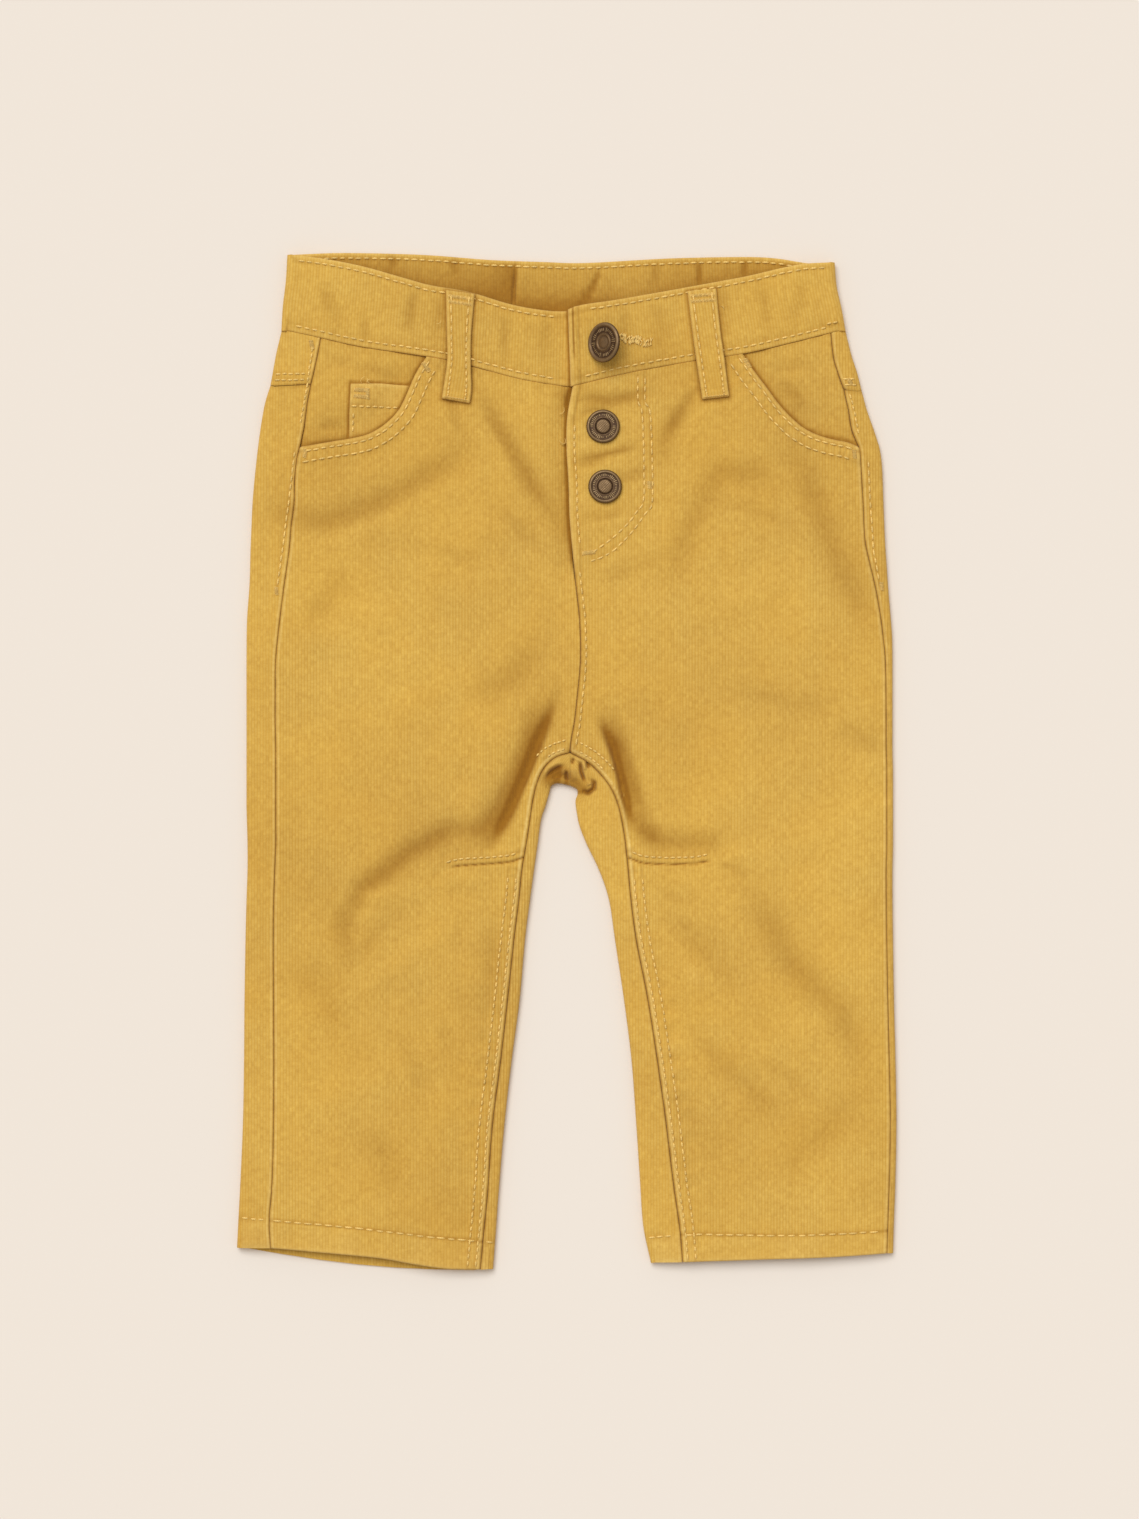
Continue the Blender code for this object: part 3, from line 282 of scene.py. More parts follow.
# A fold of the cloth: its height, negative for a trough, its half width and its path.
Fold = namedtuple("Fold", "height width path")
FOLDS = [Fold(*row) for row in (
    # The wearer's right leg: the deep trough beside the inseam, and the folds that leave it.
    (-1.7, 2.3, ((-3.4, 27), (-9.6, 12), (-15.4, -3), (-22.6, -20), (-31, -36))),
    (-1.4, 6, ((-7, 26), (-13.6, 12), (-20, -3), (-29, -22), (-38, -38))),
    (0.7, 1.9, ((-6, 10.4), (-11, -2), (-17.6, -18))),
    (0.9, 6.5, ((-20, 18), (-28, -4), (-40, -24))),
    (-1.3, 5, ((-28.6, -26.8), (-45.4, -27.6), (-61.4, -35.6), (-81.4, -51.6), (-90.6, -71.6))),
    (0.6, 3.2, ((-85.4, -54.4), (-58.6, -54.4))),
    (0.6, 3.2, ((-50.6, -47.6), (-31.8, -47.6))),
    (0.7, 5, ((-45.4, -66.4), (-85.4, -95.6))),
    (-0.9, 6, ((-122.6, 100.4), (-95.8, 95.2), (-77.4, 101.6), (-45.4, 120.4), (-34.6, 131.2))),
    (0.5, 5, ((-85.4, 112.4), (-58.6, 120.4))),
    (-1.1, 4.2, ((-36, 147), (-25, 129), (-14, 111), (-3, 93.6))),
    (0.5, 3.2, ((-23.8, 147.2), (-10.6, 128.4), (-5.4, 117.6))),
    (-0.6, 6, ((-10.6, 48.4), (-21.4, 32.4), (-39.8, 24.4))),
    (-0.5, 6, ((-85.4, 77.6), (-103.8, 53.6))),
    (-0.4, 7, ((-106.6, -79.6), (-87.8, -108.8))),
    (-0.4, 6, ((-39.8, -84.8), (-50.6, -124.8))),
    (-0.5, 6, ((-78, -148), (-72, -162), (-68, -176))),
    (-0.5, 4.6, ((-90, -56), (-87, -86))),
    (-0.5, 4.5, ((-29, -62), (-30, -84), (-33, -104))),
    # The wearer's left leg, in the same order.
    (-1.7, 1.7, ((13.4, 17), (18.4, 5.6), (21.6, -7), (25.4, -22))),
    (-1.3, 5, ((14.6, 19.6), (21.6, 5), (27, -9), (31.6, -25))),
    (0.5, 1.9, ((12, 12), (17, 0), (21.6, -12))),
    (0.8, 6, ((28, 10.4), (33.5, -5.6), (38.5, -19.6))),
    (-0.9, 5, ((26.6, -23.6), (37.4, -32.8), (58.6, -32.8), (66.6, -31.6))),
    (-0.8, 7, ((72.2, -44.8), (80.2, -63.6), (90.6, -82.4), (109.4, -100.8), (121.4, -127.6))),
    (0.7, 5, ((32.2, -68.8), (64.2, -108.8), (82.6, -127.6))),
    (-0.5, 5, ((40.2, -58.4), (69.4, -92.8))),
    (-0.5, 5, ((48.2, -106.4), (88.2, -146.4))),
    (-0.7, 6, ((82.6, 131.2), (96.2, 115.2), (106.6, 83.2), (122.6, 51.2))),
    (-0.7, 6, ((90.6, 107.2), (74.6, 115.2), (61.4, 115.2), (48.2, 91.2), (45.4, 77.6), (32.2, 69.6))),
    (-0.5, 5, ((106.6, 13.6), (128.2, 3.2))),
    (-0.5, 6, ((116, -138), (98, -154), (86, -168))),
    (-0.5, 5, ((45.4, 144.4), (37.4, 115.2))),
)]


def smooth_step(value):
    """0 below 0, 1 above 1, and 3v^2 - 2v^3 between."""
    part = np.clip(value, 0, 1)
    return part * part * (3 - 2 * part)


def bell(gap, width):
    """1 on a line and less beside it: exp(-(d / w)^2)."""
    return np.exp(-((gap / width) ** 2))


def curve_at(rows, places, corners=()):
    """Rows read at fractional places on a Catmull-Rom curve, which is
    a + t/2 ((b - z) + t (2z - 5a + 4b - c + t (3a - z - 3b + c))) between rows a and b, where z and c
    are their neighbours. At a corner the neighbour is the mirror point, so the curve breaks there."""
    rows = np.asarray(rows, float)
    shape = (-1,) + (1,) * (rows.ndim - 1)
    last = len(rows) - 1
    first = np.clip(np.floor(places).astype(int), 0, last - 1)
    part = (np.asarray(places) - first).reshape(shape)
    start, end = rows[first], rows[first + 1]
    breaks = [0, *corners, last]
    from_break = np.isin(first, breaks).reshape(shape)
    to_break = np.isin(first + 1, breaks).reshape(shape)
    before = np.where(from_break, 2 * start - end, rows[np.maximum(first - 1, 0)])
    after = np.where(to_break, 2 * end - start, rows[np.minimum(first + 2, last)])
    bend = 2 * before - 5 * start + 4 * end - after
    twist = 3 * start - before - 3 * end + after
    return start + 0.5 * part * ((end - before) + part * (bend + part * twist))


def curve(rows, corners=(), steps=5):
    """The whole curve through some points, with as many steps in each span."""
    return curve_at(rows, np.linspace(0, len(rows) - 1, steps * (len(rows) - 1) + 1), corners)


def run_along(points, axis=0):
    """How far along its row or column each point is, from 0."""
    gaps = np.linalg.norm(np.diff(points, axis=axis), axis=-1)
    return np.insert(gaps.cumsum(axis=axis), 0, 0, axis=axis)


def near_line(plan, line, block=20000):
    """For each plan point p the least |p - (a + t (b - a))| over a line's spans ab, with t kept
    within 0 and 1, and the length along the line at that place."""
    line = np.asarray(line, float)
    start, run = line[:-1], np.diff(line, axis=0)
    size = np.linalg.norm(run, axis=1)
    before = np.concatenate([[0], np.cumsum(size)[:-1]])
    flat = plan.reshape(-1, 2)
    gaps, lengths = np.empty(len(flat)), np.empty(len(flat))
    for first in range(0, len(flat), block):
        points = flat[first : first + block, None]
        part = np.clip(np.sum((points - start) * run, axis=-1) / size**2, 0, 1)
        gap = np.linalg.norm(points - start - part[..., None] * run, axis=-1)
        nearest = gap.argmin(axis=1)
        pick = np.arange(len(nearest)), nearest
        gaps[first : first + block] = gap[pick]
        lengths[first : first + block] = before[nearest] + part[pick] * size[nearest]
    return gaps.reshape(plan.shape[:-1]), lengths.reshape(plan.shape[:-1])


def read_x(line, y):
    """The x of a line where it passes y."""
    return np.interp(y, line[:, 1], line[:, 0])


def read_y(line, x):
    """The y of a line where it passes x."""
    return np.interp(x, line[:, 0], line[:, 1])


def relief(plan, folds):
    """The height that folds add: the sum of h exp(-(d / w)^2), where d is the distance to a path,
    run out softly over its ends. Points more than 3 w outside the path's box get none."""
    flat = plan.reshape(-1, 2)
    height = np.zeros(len(flat))
    for fold in folds:
        low = np.min(fold.path, axis=0) - 3 * fold.width
        high = np.max(fold.path, axis=0) + 3 * fold.width
        near = ((flat > low) & (flat < high)).all(axis=1)
        gap, along = near_line(flat[near], fold.path)
        whole = np.linalg.norm(np.diff(fold.path, axis=0), axis=1).sum()
        share = along / whole
        fade = smooth_step(0.25 + 2.5 * share) * smooth_step(0.25 + 2.5 * (1 - share))
        height[near] += fold.height * fade * bell(gap, fold.width)
    return height.reshape(plan.shape[:-1])


def unevenness(plan, shortest, longest, seed):
    """A soft random swell between about -1 and 1: the sum of sin(k . p + s) over 14 waves whose
    directions, lengths and starts are drawn from a seed."""
    draw = np.random.default_rng(seed)
    length = np.exp(draw.uniform(np.log(shortest), np.log(longest), 14))
    turn, start = draw.uniform(0, 2 * np.pi, (2, 14))
    waves = 2 * np.pi / length * np.stack([np.cos(turn), np.sin(turn)])
    return np.sin(plan @ waves + start).sum(axis=-1) / 5


def pucker(along, pitch, seed):
    """The drawn-up cloth beside a seam, between about -1 and 1: sin(2 pi s / pitch) with a start
    and a strength that wander slowly along s."""
    draw = np.random.default_rng(seed).uniform(0, 2 * np.pi, 4)
    drift = 1.4 * np.sin(along / (2.3 * pitch) + draw[0]) + 0.9 * np.sin(along / (0.9 * pitch) + draw[1])
    strength = 0.62 + 0.38 * np.sin(along / (3.1 * pitch) + draw[2])
    return strength * np.sin(2 * np.pi * along / pitch + drift + draw[3])


def rounded(gap, radius):
    """How far a rounded edge falls: r (1 - sqrt(1 - (1 - d / r)^2)) within its radius."""
    inside = 1 - np.clip(gap / radius, 0, 1)
    return radius * (1 - np.sqrt(1 - inside**2))


def seam_fall(gap, radius=0.5):
    """How far cloth falls into a seam, from the middle of its gap."""
    return rounded(gap - SEAM_GAP / 2, radius)


def band_between(gap, start, end, soft=0.8):
    """1 between two distances and 0 beyond them, with soft steps."""
    return smooth_step((gap - start) / soft + 0.5) * (1 - smooth_step((gap - end) / soft + 0.5))


SIDE_SEAM, SIDE_FOLD, INSEAM, LEG_FOLD, INNER, MOUTH_LINE = {}, {}, {}, {}, {}, {}
for half in SIDE:
    legs, body, yoke = LEGS[half], BODIES[half], YOKES[half]
    rows = [(row.side_x, row.side_y) for row in (*legs, *body, *yoke[1:])]
    corners = (len(legs) - 1, len(rows) - len(yoke))
    SIDE_SEAM[half] = curve(rows, corners)
    rows = [(row.edge_x, row.side_y) for row in (*legs, *body)]
    SIDE_FOLD[half] = rows + [(row.edge_x, row.edge_y) for row in yoke[1:]]
    INSEAM[half] = curve([(row.seam_x, row.seam_y) for row in legs])
    LEG_FOLD[half] = [(row.fold_x, row.fold_y) for row in legs]
    MOUTH_LINE[half] = curve(MOUTH[half])
RISE_LINE = curve(RISE)
WAIST_LINE = curve(WAIST_SEAM)
LEG_GAP = LEG_FOLD["left"] + LEG_FOLD["right"][-2::-1]
OUTLINE = (SIDE_FOLD["left"], SIDE_FOLD["right"], LEG_GAP)
HEM_LINE = {half: curve(HEM[half]) for half in HEM}
HEM_STITCH_LINE = {half: curve(HEM_STITCH[half]) for half in HEM_STITCH}
DART_LINE = {half: curve(DART[half]) for half in DART}
FLY_LINE = {row: curve(FLY_STITCH[row]) for row in FLY_STITCH}
for half in SIDE:
    INNER[half] = np.concatenate([INSEAM[half], RISE_LINE[1:]])


def garment_top(plan, main=None):
    """The garment's upper side: the roll's height, a puff P (1 - exp(-room / R)) and the folds."""
    main = relief(plan, FOLDS) if main is None else main
    room = np.min([near_line(plan, line)[0] for line in OUTLINE], axis=0) - EDGE_RADIUS
    room = np.maximum(room, 0)
    puff = PUFF_HEIGHT * (1 - np.exp(-room / PUFF_RUN))
    height = 2 * EDGE_RADIUS + puff + main * smooth_step(room / 5)
    return np.maximum(height, LEAST_TOP)


def front_form(plan, side, main=None):
    """The garment's top with the fly's lap: the left front steps down and the right one up."""
    into_fly = smooth_step((plan[..., 1] - 66) / 14)
    near = smooth_step(1 - side * (plan[..., 0] - read_x(RISE_LINE, plan[..., 1])) / FLY_RUN)
    return garment_top(plan, main) + (FLY_RISE if side > 0 else -FLY_DROP) * near * into_fly


FINE_FOLDS = [Fold(*row) for row in (
    # Short creases that the sewing and the wear have left.
    (-0.35, 2.2, ((-47.6, 151), (-45, 138), (-41, 128))),
    (0.3, 2.6, ((-41, 150), (-33, 132), (-22, 116))),
    (-0.3, 2.4, ((-30, 104), (-16, 90), (-6, 82))),
    (0.25, 3, ((-38, 96), (-22, 84))),
    (-0.25, 3, ((-74, 88), (-50, 84), (-30, 78))),
    (0.3, 4, ((-104, 84), (-84, 90), (-62, 100))),
    (-0.3, 1.6, ((-47.6, -43.2), (-51, -44.6), (-54, -44.4))),
    (0.45, 1, ((-51, -41.6), (-49.6, -45.4), (-46, -46.2), (-42.6, -45.6))),
    (0.4, 1.1, ((-64, -52.6), (-48, -50), (-32, -48.6))),
    (-0.25, 2.2, ((-52, -38), (-38, -36))),
    (-0.3, 3.4, ((-62, -58), (-74, -66), (-84, -80))),
    (0.25, 3.2, ((-70, -60), (-92, -62))),
    (-0.25, 3, ((-40, -60), (-46, -78))),
    (0.25, 3, ((-48, -96), (-40, -116))),
    (-0.25, 3.6, ((-66, -110), (-56, -134))),
    (0.22, 4, ((-96, -120), (-84, -150))),
    (-0.5, 1.8, ((20.6, -4), (23.6, -15), (26.2, -27))),
    (-0.35, 4.4, ((25, -20), (30.6, -28), (38, -33))),
    (-0.75, 3, ((3, 145), (18, 144), (34, 147))),
    (-0.85, 1.3, ((1.6, 119.8), (8, 121.6), (18, 123.2), (31, 127))),
    (-0.6, 1.1, ((2.6, 116.4), (9, 118.8), (17.6, 120))),
    (-0.5, 1.3, ((4, 138.4), (12, 140.2), (19, 139.6))),
    (-0.5, 2.8, ((18, 112), (26, 114), (33, 117))),
    (-0.45, 1.9, ((6, 97), (14, 97.6), (24, 100))),
    (0.25, 2.4, ((8, 92.8), (20, 95.4))),
    (-0.5, 2.6, ((38, 127), (46, 140), (54, 151))),
    (0.3, 3.2, ((46, 122), (54, 136), (58, 146))),
    (-0.25, 3, ((60, 104), (76, 100), (94, 92))),
    (-0.25, 3.6, ((12, 72), (26, 76), (40, 84))),
    (0.25, 4, ((50, 70), (72, 62))),
    (-0.25, 4, ((66, 30), (92, 22), (112, 24))),
    (0.3, 2.4, ((63, -38.6), (69, -38), (76, -40.4))),
    (-0.35, 2, ((60, -42), (67, -43), (73, -46))),
    (-0.25, 3, ((36, -52), (54, -56))),
    (0.25, 3, ((46, -80), (60, -96))),
    (-0.25, 3.6, ((74, -118), (98, -132))),
    (0.22, 4, ((98, -60), (112, -76))),
    (-0.22, 4, ((40, -132), (56, -150))),
)]
# How far inside its edge or seam each row of stitches lies, and how wide and deep it sinks.
MOUTH_ROWS = (2.1, 6.2)
INSEAM_ROWS = (2.0, 5.3)
RISE_ROW = 2.2
FLY_EDGE_ROW = 3.2
ROW_WIDTH = 0.55
ROW_DEPTH = 0.16


# A belt loop section: its two edges.
Loop = namedtuple("Loop", "left_x left_y right_x right_y")
LOOPS = {
    "left": (
        Loop(-48.2, 188, -36.6, 186.4), Loop(-47.8, 171.6, -38, 170.4), Loop(-47.6, 160, -38.2, 159),
        Loop(-49, 150, -37.9, 148.4), Loop(-49.8, 144.8, -38.6, 142.8),
    ),
    "right": (
        Loop(48.2, 187.6, 59.8, 188.6), Loop(50.2, 171.6, 61.4, 172.2), Loop(52, 158.6, 63.2, 159.4),
        Loop(53.6, 148.6, 64.4, 149.6), Loop(54.2, 144.4, 65, 145.6),
    ),
}


def ribs(across, strength=1.0):
    """The cord's ribs: h cos(2 pi x / pitch)."""
    return RIB_HEIGHT * strength * np.cos(2 * np.pi * across / RIB_PITCH)


def loop_shade(plan, half):
    """How dark the cloth is beside and under a belt loop: exp(-(d / 1.1)^2) from its edges."""
    rows = np.array(LOOPS[half])
    rim = np.concatenate([rows[:, :2], rows[::-1, 2:], rows[:1, :2]])
    return 0.75 * bell(near_line(plan, rim)[0], 1.1)


def seam_shade(gap, along, share):
    """The dark line of a seam, a little stronger and weaker along it."""
    return share * (1 + 0.3 * pucker(along, 13, 34)) * bell(gap, 0.6)


def front_face(plan, half):
    """A front panel's face with its finer creases and all that the sewing does to it, how pale each
    place is from rubbing and painted highlight, and how dark each place is from painted shade."""
    side = SIDE[half]
    x, y = plan[..., 0], plan[..., 1]
    main, fine = relief(plan, FOLDS), relief(plan, FINE_FOLDS)
    base = front_form(plan, side, main)
    to_side, along_side = near_line(plan, SIDE_SEAM[half])
    to_inseam, along_inseam = near_line(plan, INSEAM[half])
    to_rise, along_rise = near_line(plan, RISE_LINE)
    to_mouth, along_mouth = near_line(plan, MOUTH_LINE[half])
    to_waist, along_waist = near_line(plan, WAIST_LINE)
    to_hem = near_line(plan, HEM_LINE[half])[0]
    to_hem_row, along_hem = near_line(plan, HEM_STITCH_LINE[half])
    to_dart, along_dart = near_line(plan, DART_LINE[half])
    over_dart = y > read_y(DART_LINE[half], x)
    in_dart = smooth_step((along_dart if side < 0 else along_dart.max() - along_dart) / 4)
    low_leg = smooth_step((-40 - y) / 3)
    by_crotch = smooth_step((y + (5 if side > 0 else 0)) / 2)
    seam_rows = np.maximum(low_leg, by_crotch)
    above_fly = smooth_step((y - 74) / 8)
    sewn = fine + 0.2 * unevenness(plan, 14, 46, 11)
    sewn += 0.3 * seam_rows * band_between(to_inseam, 0.6, 6.4, 1.6)
    sewn += 0.14 * band_between(to_inseam, 0.6, 2)
    drawn = 0.14 + 0.34 * smooth_step((-70 - y) / 60)
    sewn += drawn * low_leg * pucker(along_inseam, 8.5, 21) * bell(to_inseam - 7, 5)
    sewn += 0.15 * seam_rows * pucker(along_inseam, 3.1, 28) * bell(to_inseam - 3.6, 2.6)
    sewn += 0.1 * pucker(along_side, 9, 22) * bell(to_side, 4)
    sewn += 0.4 * band_between(to_mouth, 0.4, 7, 1.6)
    sewn += 0.17 * pucker(along_mouth, 6, 23) * bell(to_mouth - 6, 4.2)
    sewn += 0.16 * pucker(along_mouth, 2.7, 30) * bell(to_mouth - 4.2, 2.8)
    sewn += 0.12 * pucker(along_waist, 8, 24) * bell(to_waist, 6)
    in_hem = y < read_y(HEM_STITCH_LINE[half], x)
    sewn += 0.45 * np.where(in_hem, smooth_step(to_hem_row / 1.2), 0)
    sewn += 0.12 * pucker(along_hem, 7, 25) * bell(to_hem_row, 4.5)
    above = np.where(over_dart, to_dart, -to_dart)
    dart_ridge = band_between(above, 0.5, 5, 1.4) * 0.4 - 0.75 * bell(above + 0.2, 0.36)
    dart_ridge += 0.16 * pucker(along_dart, 2.6, 29) * band_between(above, 1, 5, 1.2)
    sewn += np.where(to_dart < 9, dart_ridge * in_dart, 0)
    stitch_rows = [(to_hem_row, 1), (np.where(over_dart, abs(to_dart - 2.6), 9), in_dart)]
    stitch_rows += [(abs(to_mouth - row), 1) for row in MOUTH_ROWS]
    stitch_rows += [(abs(to_inseam - row), seam_rows) for row in INSEAM_ROWS]
    if half == "right":
        to_fly, along_fly = near_line(plan, FLY_LINE["outer"])
        to_fly_inner = near_line(plan, FLY_LINE["inner"])[0]
        within = (y > 78.8) & (x < read_x(FLY_LINE["outer"][::-1], y))
        sewn += 0.28 * np.where(within, smooth_step(to_fly / 1.6), 0)
        sewn += 0.14 * pucker(along_fly, 6.5, 26) * bell(to_fly, 4.5)
        sewn += 0.22 * band_between(to_rise, 0.4, 2.6, 1)
        sewn += 0.12 * pucker(along_rise, 7.5, 27) * bell(to_rise - 2, 3.2)
        stitch_rows += [(to_fly, 1), (to_fly_inner, 1)]
        stitch_rows.append((abs(to_rise - RISE_ROW), 1 - above_fly))
        stitch_rows.append((abs(to_rise - FLY_EDGE_ROW), above_fly))
        turned_fly = seam_fall(to_rise, 0.9) * above_fly
        seam_fly = seam_fall(to_rise) * (1 - above_fly)
    else:
        below = 1 - smooth_step((y - 78) / 8)
        sewn += 0.1 * pucker(along_rise, 7.5, 27) * bell(to_rise, 4) * below
        turned_fly = 0
        seam_fly = seam_fall(to_rise) * below
    sunk = sum(share * bell(gap, ROW_WIDTH) for gap, share in stitch_rows)
    falls = turned_fly + seam_fly
    falls += seam_fall(to_side) + seam_fall(to_inseam)
    falls += rounded(to_mouth, 0.9) + seam_fall(to_waist, 0.25) + rounded(to_hem, 0.9)
    quiet = np.minimum.reduce([to_side, to_inseam, to_rise, to_mouth, to_waist, to_hem])
    cord = ribs(x, smooth_step(quiet / 0.9) * (1 - 0.4 * np.clip(sunk, 0, 1)))
    height = base + sewn - ROW_DEPTH * sunk - falls + cord
    # Pale places: wear at the pocket mouth and the hem, and painted highlight on raised sewn cloth, on the
    # fly's turned edge and on the ridges beside the inseam and the side seam.
    wear_and_highlight = 0.6 * bell(to_mouth - 0.9, 0.8) + 0.7 * bell(to_hem, 1.3)
    wear_and_highlight += 0.6 * np.clip(sewn - 0.25, 0, 1) + 0.05 * in_hem
    if half == "right":
        wear_and_highlight += bell(to_rise, 1.2) * above_fly
    wear_and_highlight += 1.8 * band_between(to_inseam, 0.8, 1.8, 0.6) + 1.1 * band_between(to_side, 0.6, 1.4, 0.6)
    # Painted shade: darker in fold troughs, more so near the crotch, beside the belt loops, along the
    # seams, the dart and the waist seam, and in the stitch rows and the hem row.
    by_fork = bell(x - CROTCH[0], 36) * bell(y + 8, 26)
    painted_shade = np.clip(-(main + 1.6 * fine) / 1.75, 0, 1.2) ** 1.2 * (1 + 0.5 * by_fork)
    painted_shade += loop_shade(plan, half)
    painted_shade += seam_shade(to_side, along_side, 0.42) + seam_shade(to_inseam, along_inseam, 0.62)
    painted_shade += 0.8 * np.where(to_dart < 3, bell(above + 0.2, 0.42) * in_dart, 0)
    painted_shade += 0.16 * bell(to_waist, 1.2) + 0.3 * np.clip(sunk, 0, 1)
    painted_shade += 0.35 * bell(to_hem_row, 0.8)
    # On the left front, painted shadow under and beside the fly's edge, darkest at its top below the band.
    if half == "left":
        gap_y = 1 - smooth_step(np.abs(y - 145) / 7)
        under_fly = 1.5 * bell(to_rise, 1.1) + 1.6 * gap_y * bell(to_rise, 2.1)
        wide = 0.22 + 0.42 * band_between(y, 86, 116, 10) + 0.3 * gap_y
        under_fly += wide * np.exp(-to_rise / 3.4)
        height = height - 0.8 * gap_y * bell(to_rise, 2.1) * above_fly
        painted_shade += under_fly * above_fly
    else:
        painted_shade += 0.9 * bell(to_rise, 0.6) * (1 - above_fly)
    return height, np.clip(wear_and_highlight, 0, 1.8), np.clip(painted_shade, 0, 1.15)


def steps(*spans):
    """Places along some joined spans, each (start, end, longest step)."""
    parts = [np.linspace(a, b, int(np.ceil((b - a) / step)), endpoint=False) for a, b, step in spans]
    return np.concatenate([*parts, [spans[-1][1]]])


def cut_plan(columns, shares, foot, top, left, right):
    """A cut piece of cloth as a grid on its upright ribs. Each row runs at one share of the way from
    the foot line to the top line, and x is kept between the side lines. It returns the plan points,
    and for each the column whose point stands for it where columns run out over a side line."""
    x = np.broadcast_to(columns, (len(shares), len(columns)))
    for _ in range(6):
        low, high = foot(x), top(x)
        y = low + shares[:, None] * (high - low)
        x = np.clip(columns, left(y), right(y))
    count = np.arange(len(columns))
    first = np.maximum((columns < left(y)).sum(axis=1) - 1, 0)[:, None]
    last = np.minimum(len(columns) - (columns > right(y)).sum(axis=1), len(columns) - 1)[:, None]
    return np.stack([x, y], axis=-1), np.clip(count, first, last)


def cord_columns(low, high):
    """Upright columns, four to a rib, from just below one x to just above another."""
    return np.arange(np.floor(low / CORD_STEP) - 1, np.ceil(high / CORD_STEP) + 2) * CORD_STEP


def grid_quads(index):
    """The quads between neighbouring rows and columns of a grid of points, by number."""
    return np.stack([index[:-1, :-1], index[:-1, 1:], index[1:, 1:], index[1:, :-1]], axis=-1)


def halved(quads):
    """Two triangles from each quad."""
    return np.concatenate([quads[..., [0, 1, 2]], quads[..., [0, 2, 3]]]).reshape(-1, 3)


def whole_triangles(corners):
    """Triangles whose three corners differ."""
    a, b, c = corners.T
    return corners[(a != b) & (b != c) & (c != a)]


def thin_sheet(stands_for, across=8, along=2):
    """A closed sheet of cloth: a full grid on its face, every eighth column and second row on its
    underside, and fans round the rim. It returns the faces, which count the underside after the face."""
    rows, columns = stands_for.shape
    face = np.take_along_axis(np.arange(rows * columns).reshape(rows, columns), stands_for, axis=1)
    kept_rows = np.unique([*range(0, rows, along), rows - 1])
    kept_columns = np.unique([*range(0, columns, across), columns - 1])
    back = face[np.ix_(kept_rows, kept_columns)] + rows * columns

    def fans(fine, coarse, places):
        start = np.searchsorted(places, np.arange(len(fine) - 1), side="right") - 1
        fan = np.stack([fine[1:], fine[:-1], coarse[start]], -1)
        closing = np.stack([coarse[:-1], coarse[1:], fine[places[1:]]], -1)
        return np.concatenate([fan, closing])

    turned_rows, turned_columns = rows - 1 - kept_rows[::-1], columns - 1 - kept_columns[::-1]
    parts = [
        halved(grid_quads(face)), halved(grid_quads(back))[:, ::-1],
        fans(face[0], back[0], kept_columns), fans(face[:, -1], back[:, -1], kept_rows),
        fans(face[-1, ::-1], back[-1, ::-1], turned_columns),
        fans(face[::-1, 0], back[::-1, 0], turned_rows),
    ]
    return whole_triangles(np.concatenate(parts))


def new_piece(name, points, faces, paint, **attributes):
    """A smooth painted mesh from points in millimetres, with a vector at each point for every
    attribute, on the root body."""
    mesh = bpy.data.meshes.new(name)
    mesh.from_pydata(points / 1000, [], faces)
    mesh.shade_smooth()
    for attribute, vectors in attributes.items():
        values = mesh.attributes.new(attribute, "FLOAT_VECTOR", "POINT").data
        values.foreach_set("vector", vectors.ravel())
    mesh.materials.append(paint)
    made = bpy.data.objects.new(name, mesh)
    bpy.context.scene.collection.objects.link(made)
    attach(made, "root")
    return made


def cloth_piece(name, replaced, layers, faces, weave, wear):
    """A piece of cloth from the points of its two layers and its faces, turned outwards, in place of
    its CAD node. The weave's own coordinates, the pale marks and the painted shade are the same on
    both layers."""
    used, faces = np.unique(faces, return_inverse=True)
    faces = faces.reshape(-1, 3)
    points, weave, wear = (
        np.concatenate([one.reshape(-1, 3) for one in pair])[used]
        for pair in (layers, (weave, weave), (wear, wear))
    )
    a, b, c = (points[faces[:, k]] for k in range(3))
    if np.sum(a * np.cross(b, c)) < 0:
        faces = faces[:, ::-1]
    made = new_piece(name, points, faces, NEEDLECORD, weave=weave, wear=wear)
    made.data.set_sharp_from_angle(angle=SHARP_ANGLE)
    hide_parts(replaced)


def level(plan, height):
    """Plan points at one height or at their own, as points in space."""
    return np.concatenate([plan, np.broadcast_to(height, plan.shape[:-1])[..., None]], axis=-1)


def laid_piece(name, replaced, plan, stands_for, face, form, cloth=CLOTH):
    """A piece that lies face up: its face with its pale marks and painted shade, and its underside one
    cloth below the form that it follows."""
    height, wear_and_highlight, painted_shade = face
    cloth_piece(name, replaced, (level(plan, height), level(plan, form - cloth)), thin_sheet(stands_for),
                level(plan, 0), np.stack([wear_and_highlight, painted_shade, 0 * wear_and_highlight], axis=-1))


RIB_TONE = (0.638, 0.400, 0.089, 1.0)
GROOVE_TONE = (0.585, 0.333, 0.054, 1.0)
WARM_TONE = (0.64, 0.352, 0.05, 1.0)
# The pale tone of wear and of painted highlight.
WEAR_AND_HIGHLIGHT_TONE = (0.76, 0.52, 0.16, 1.0)
# The dark brown of painted shade.
PAINTED_SHADE_TONE = (0.30, 0.124, 0.007, 1.0)


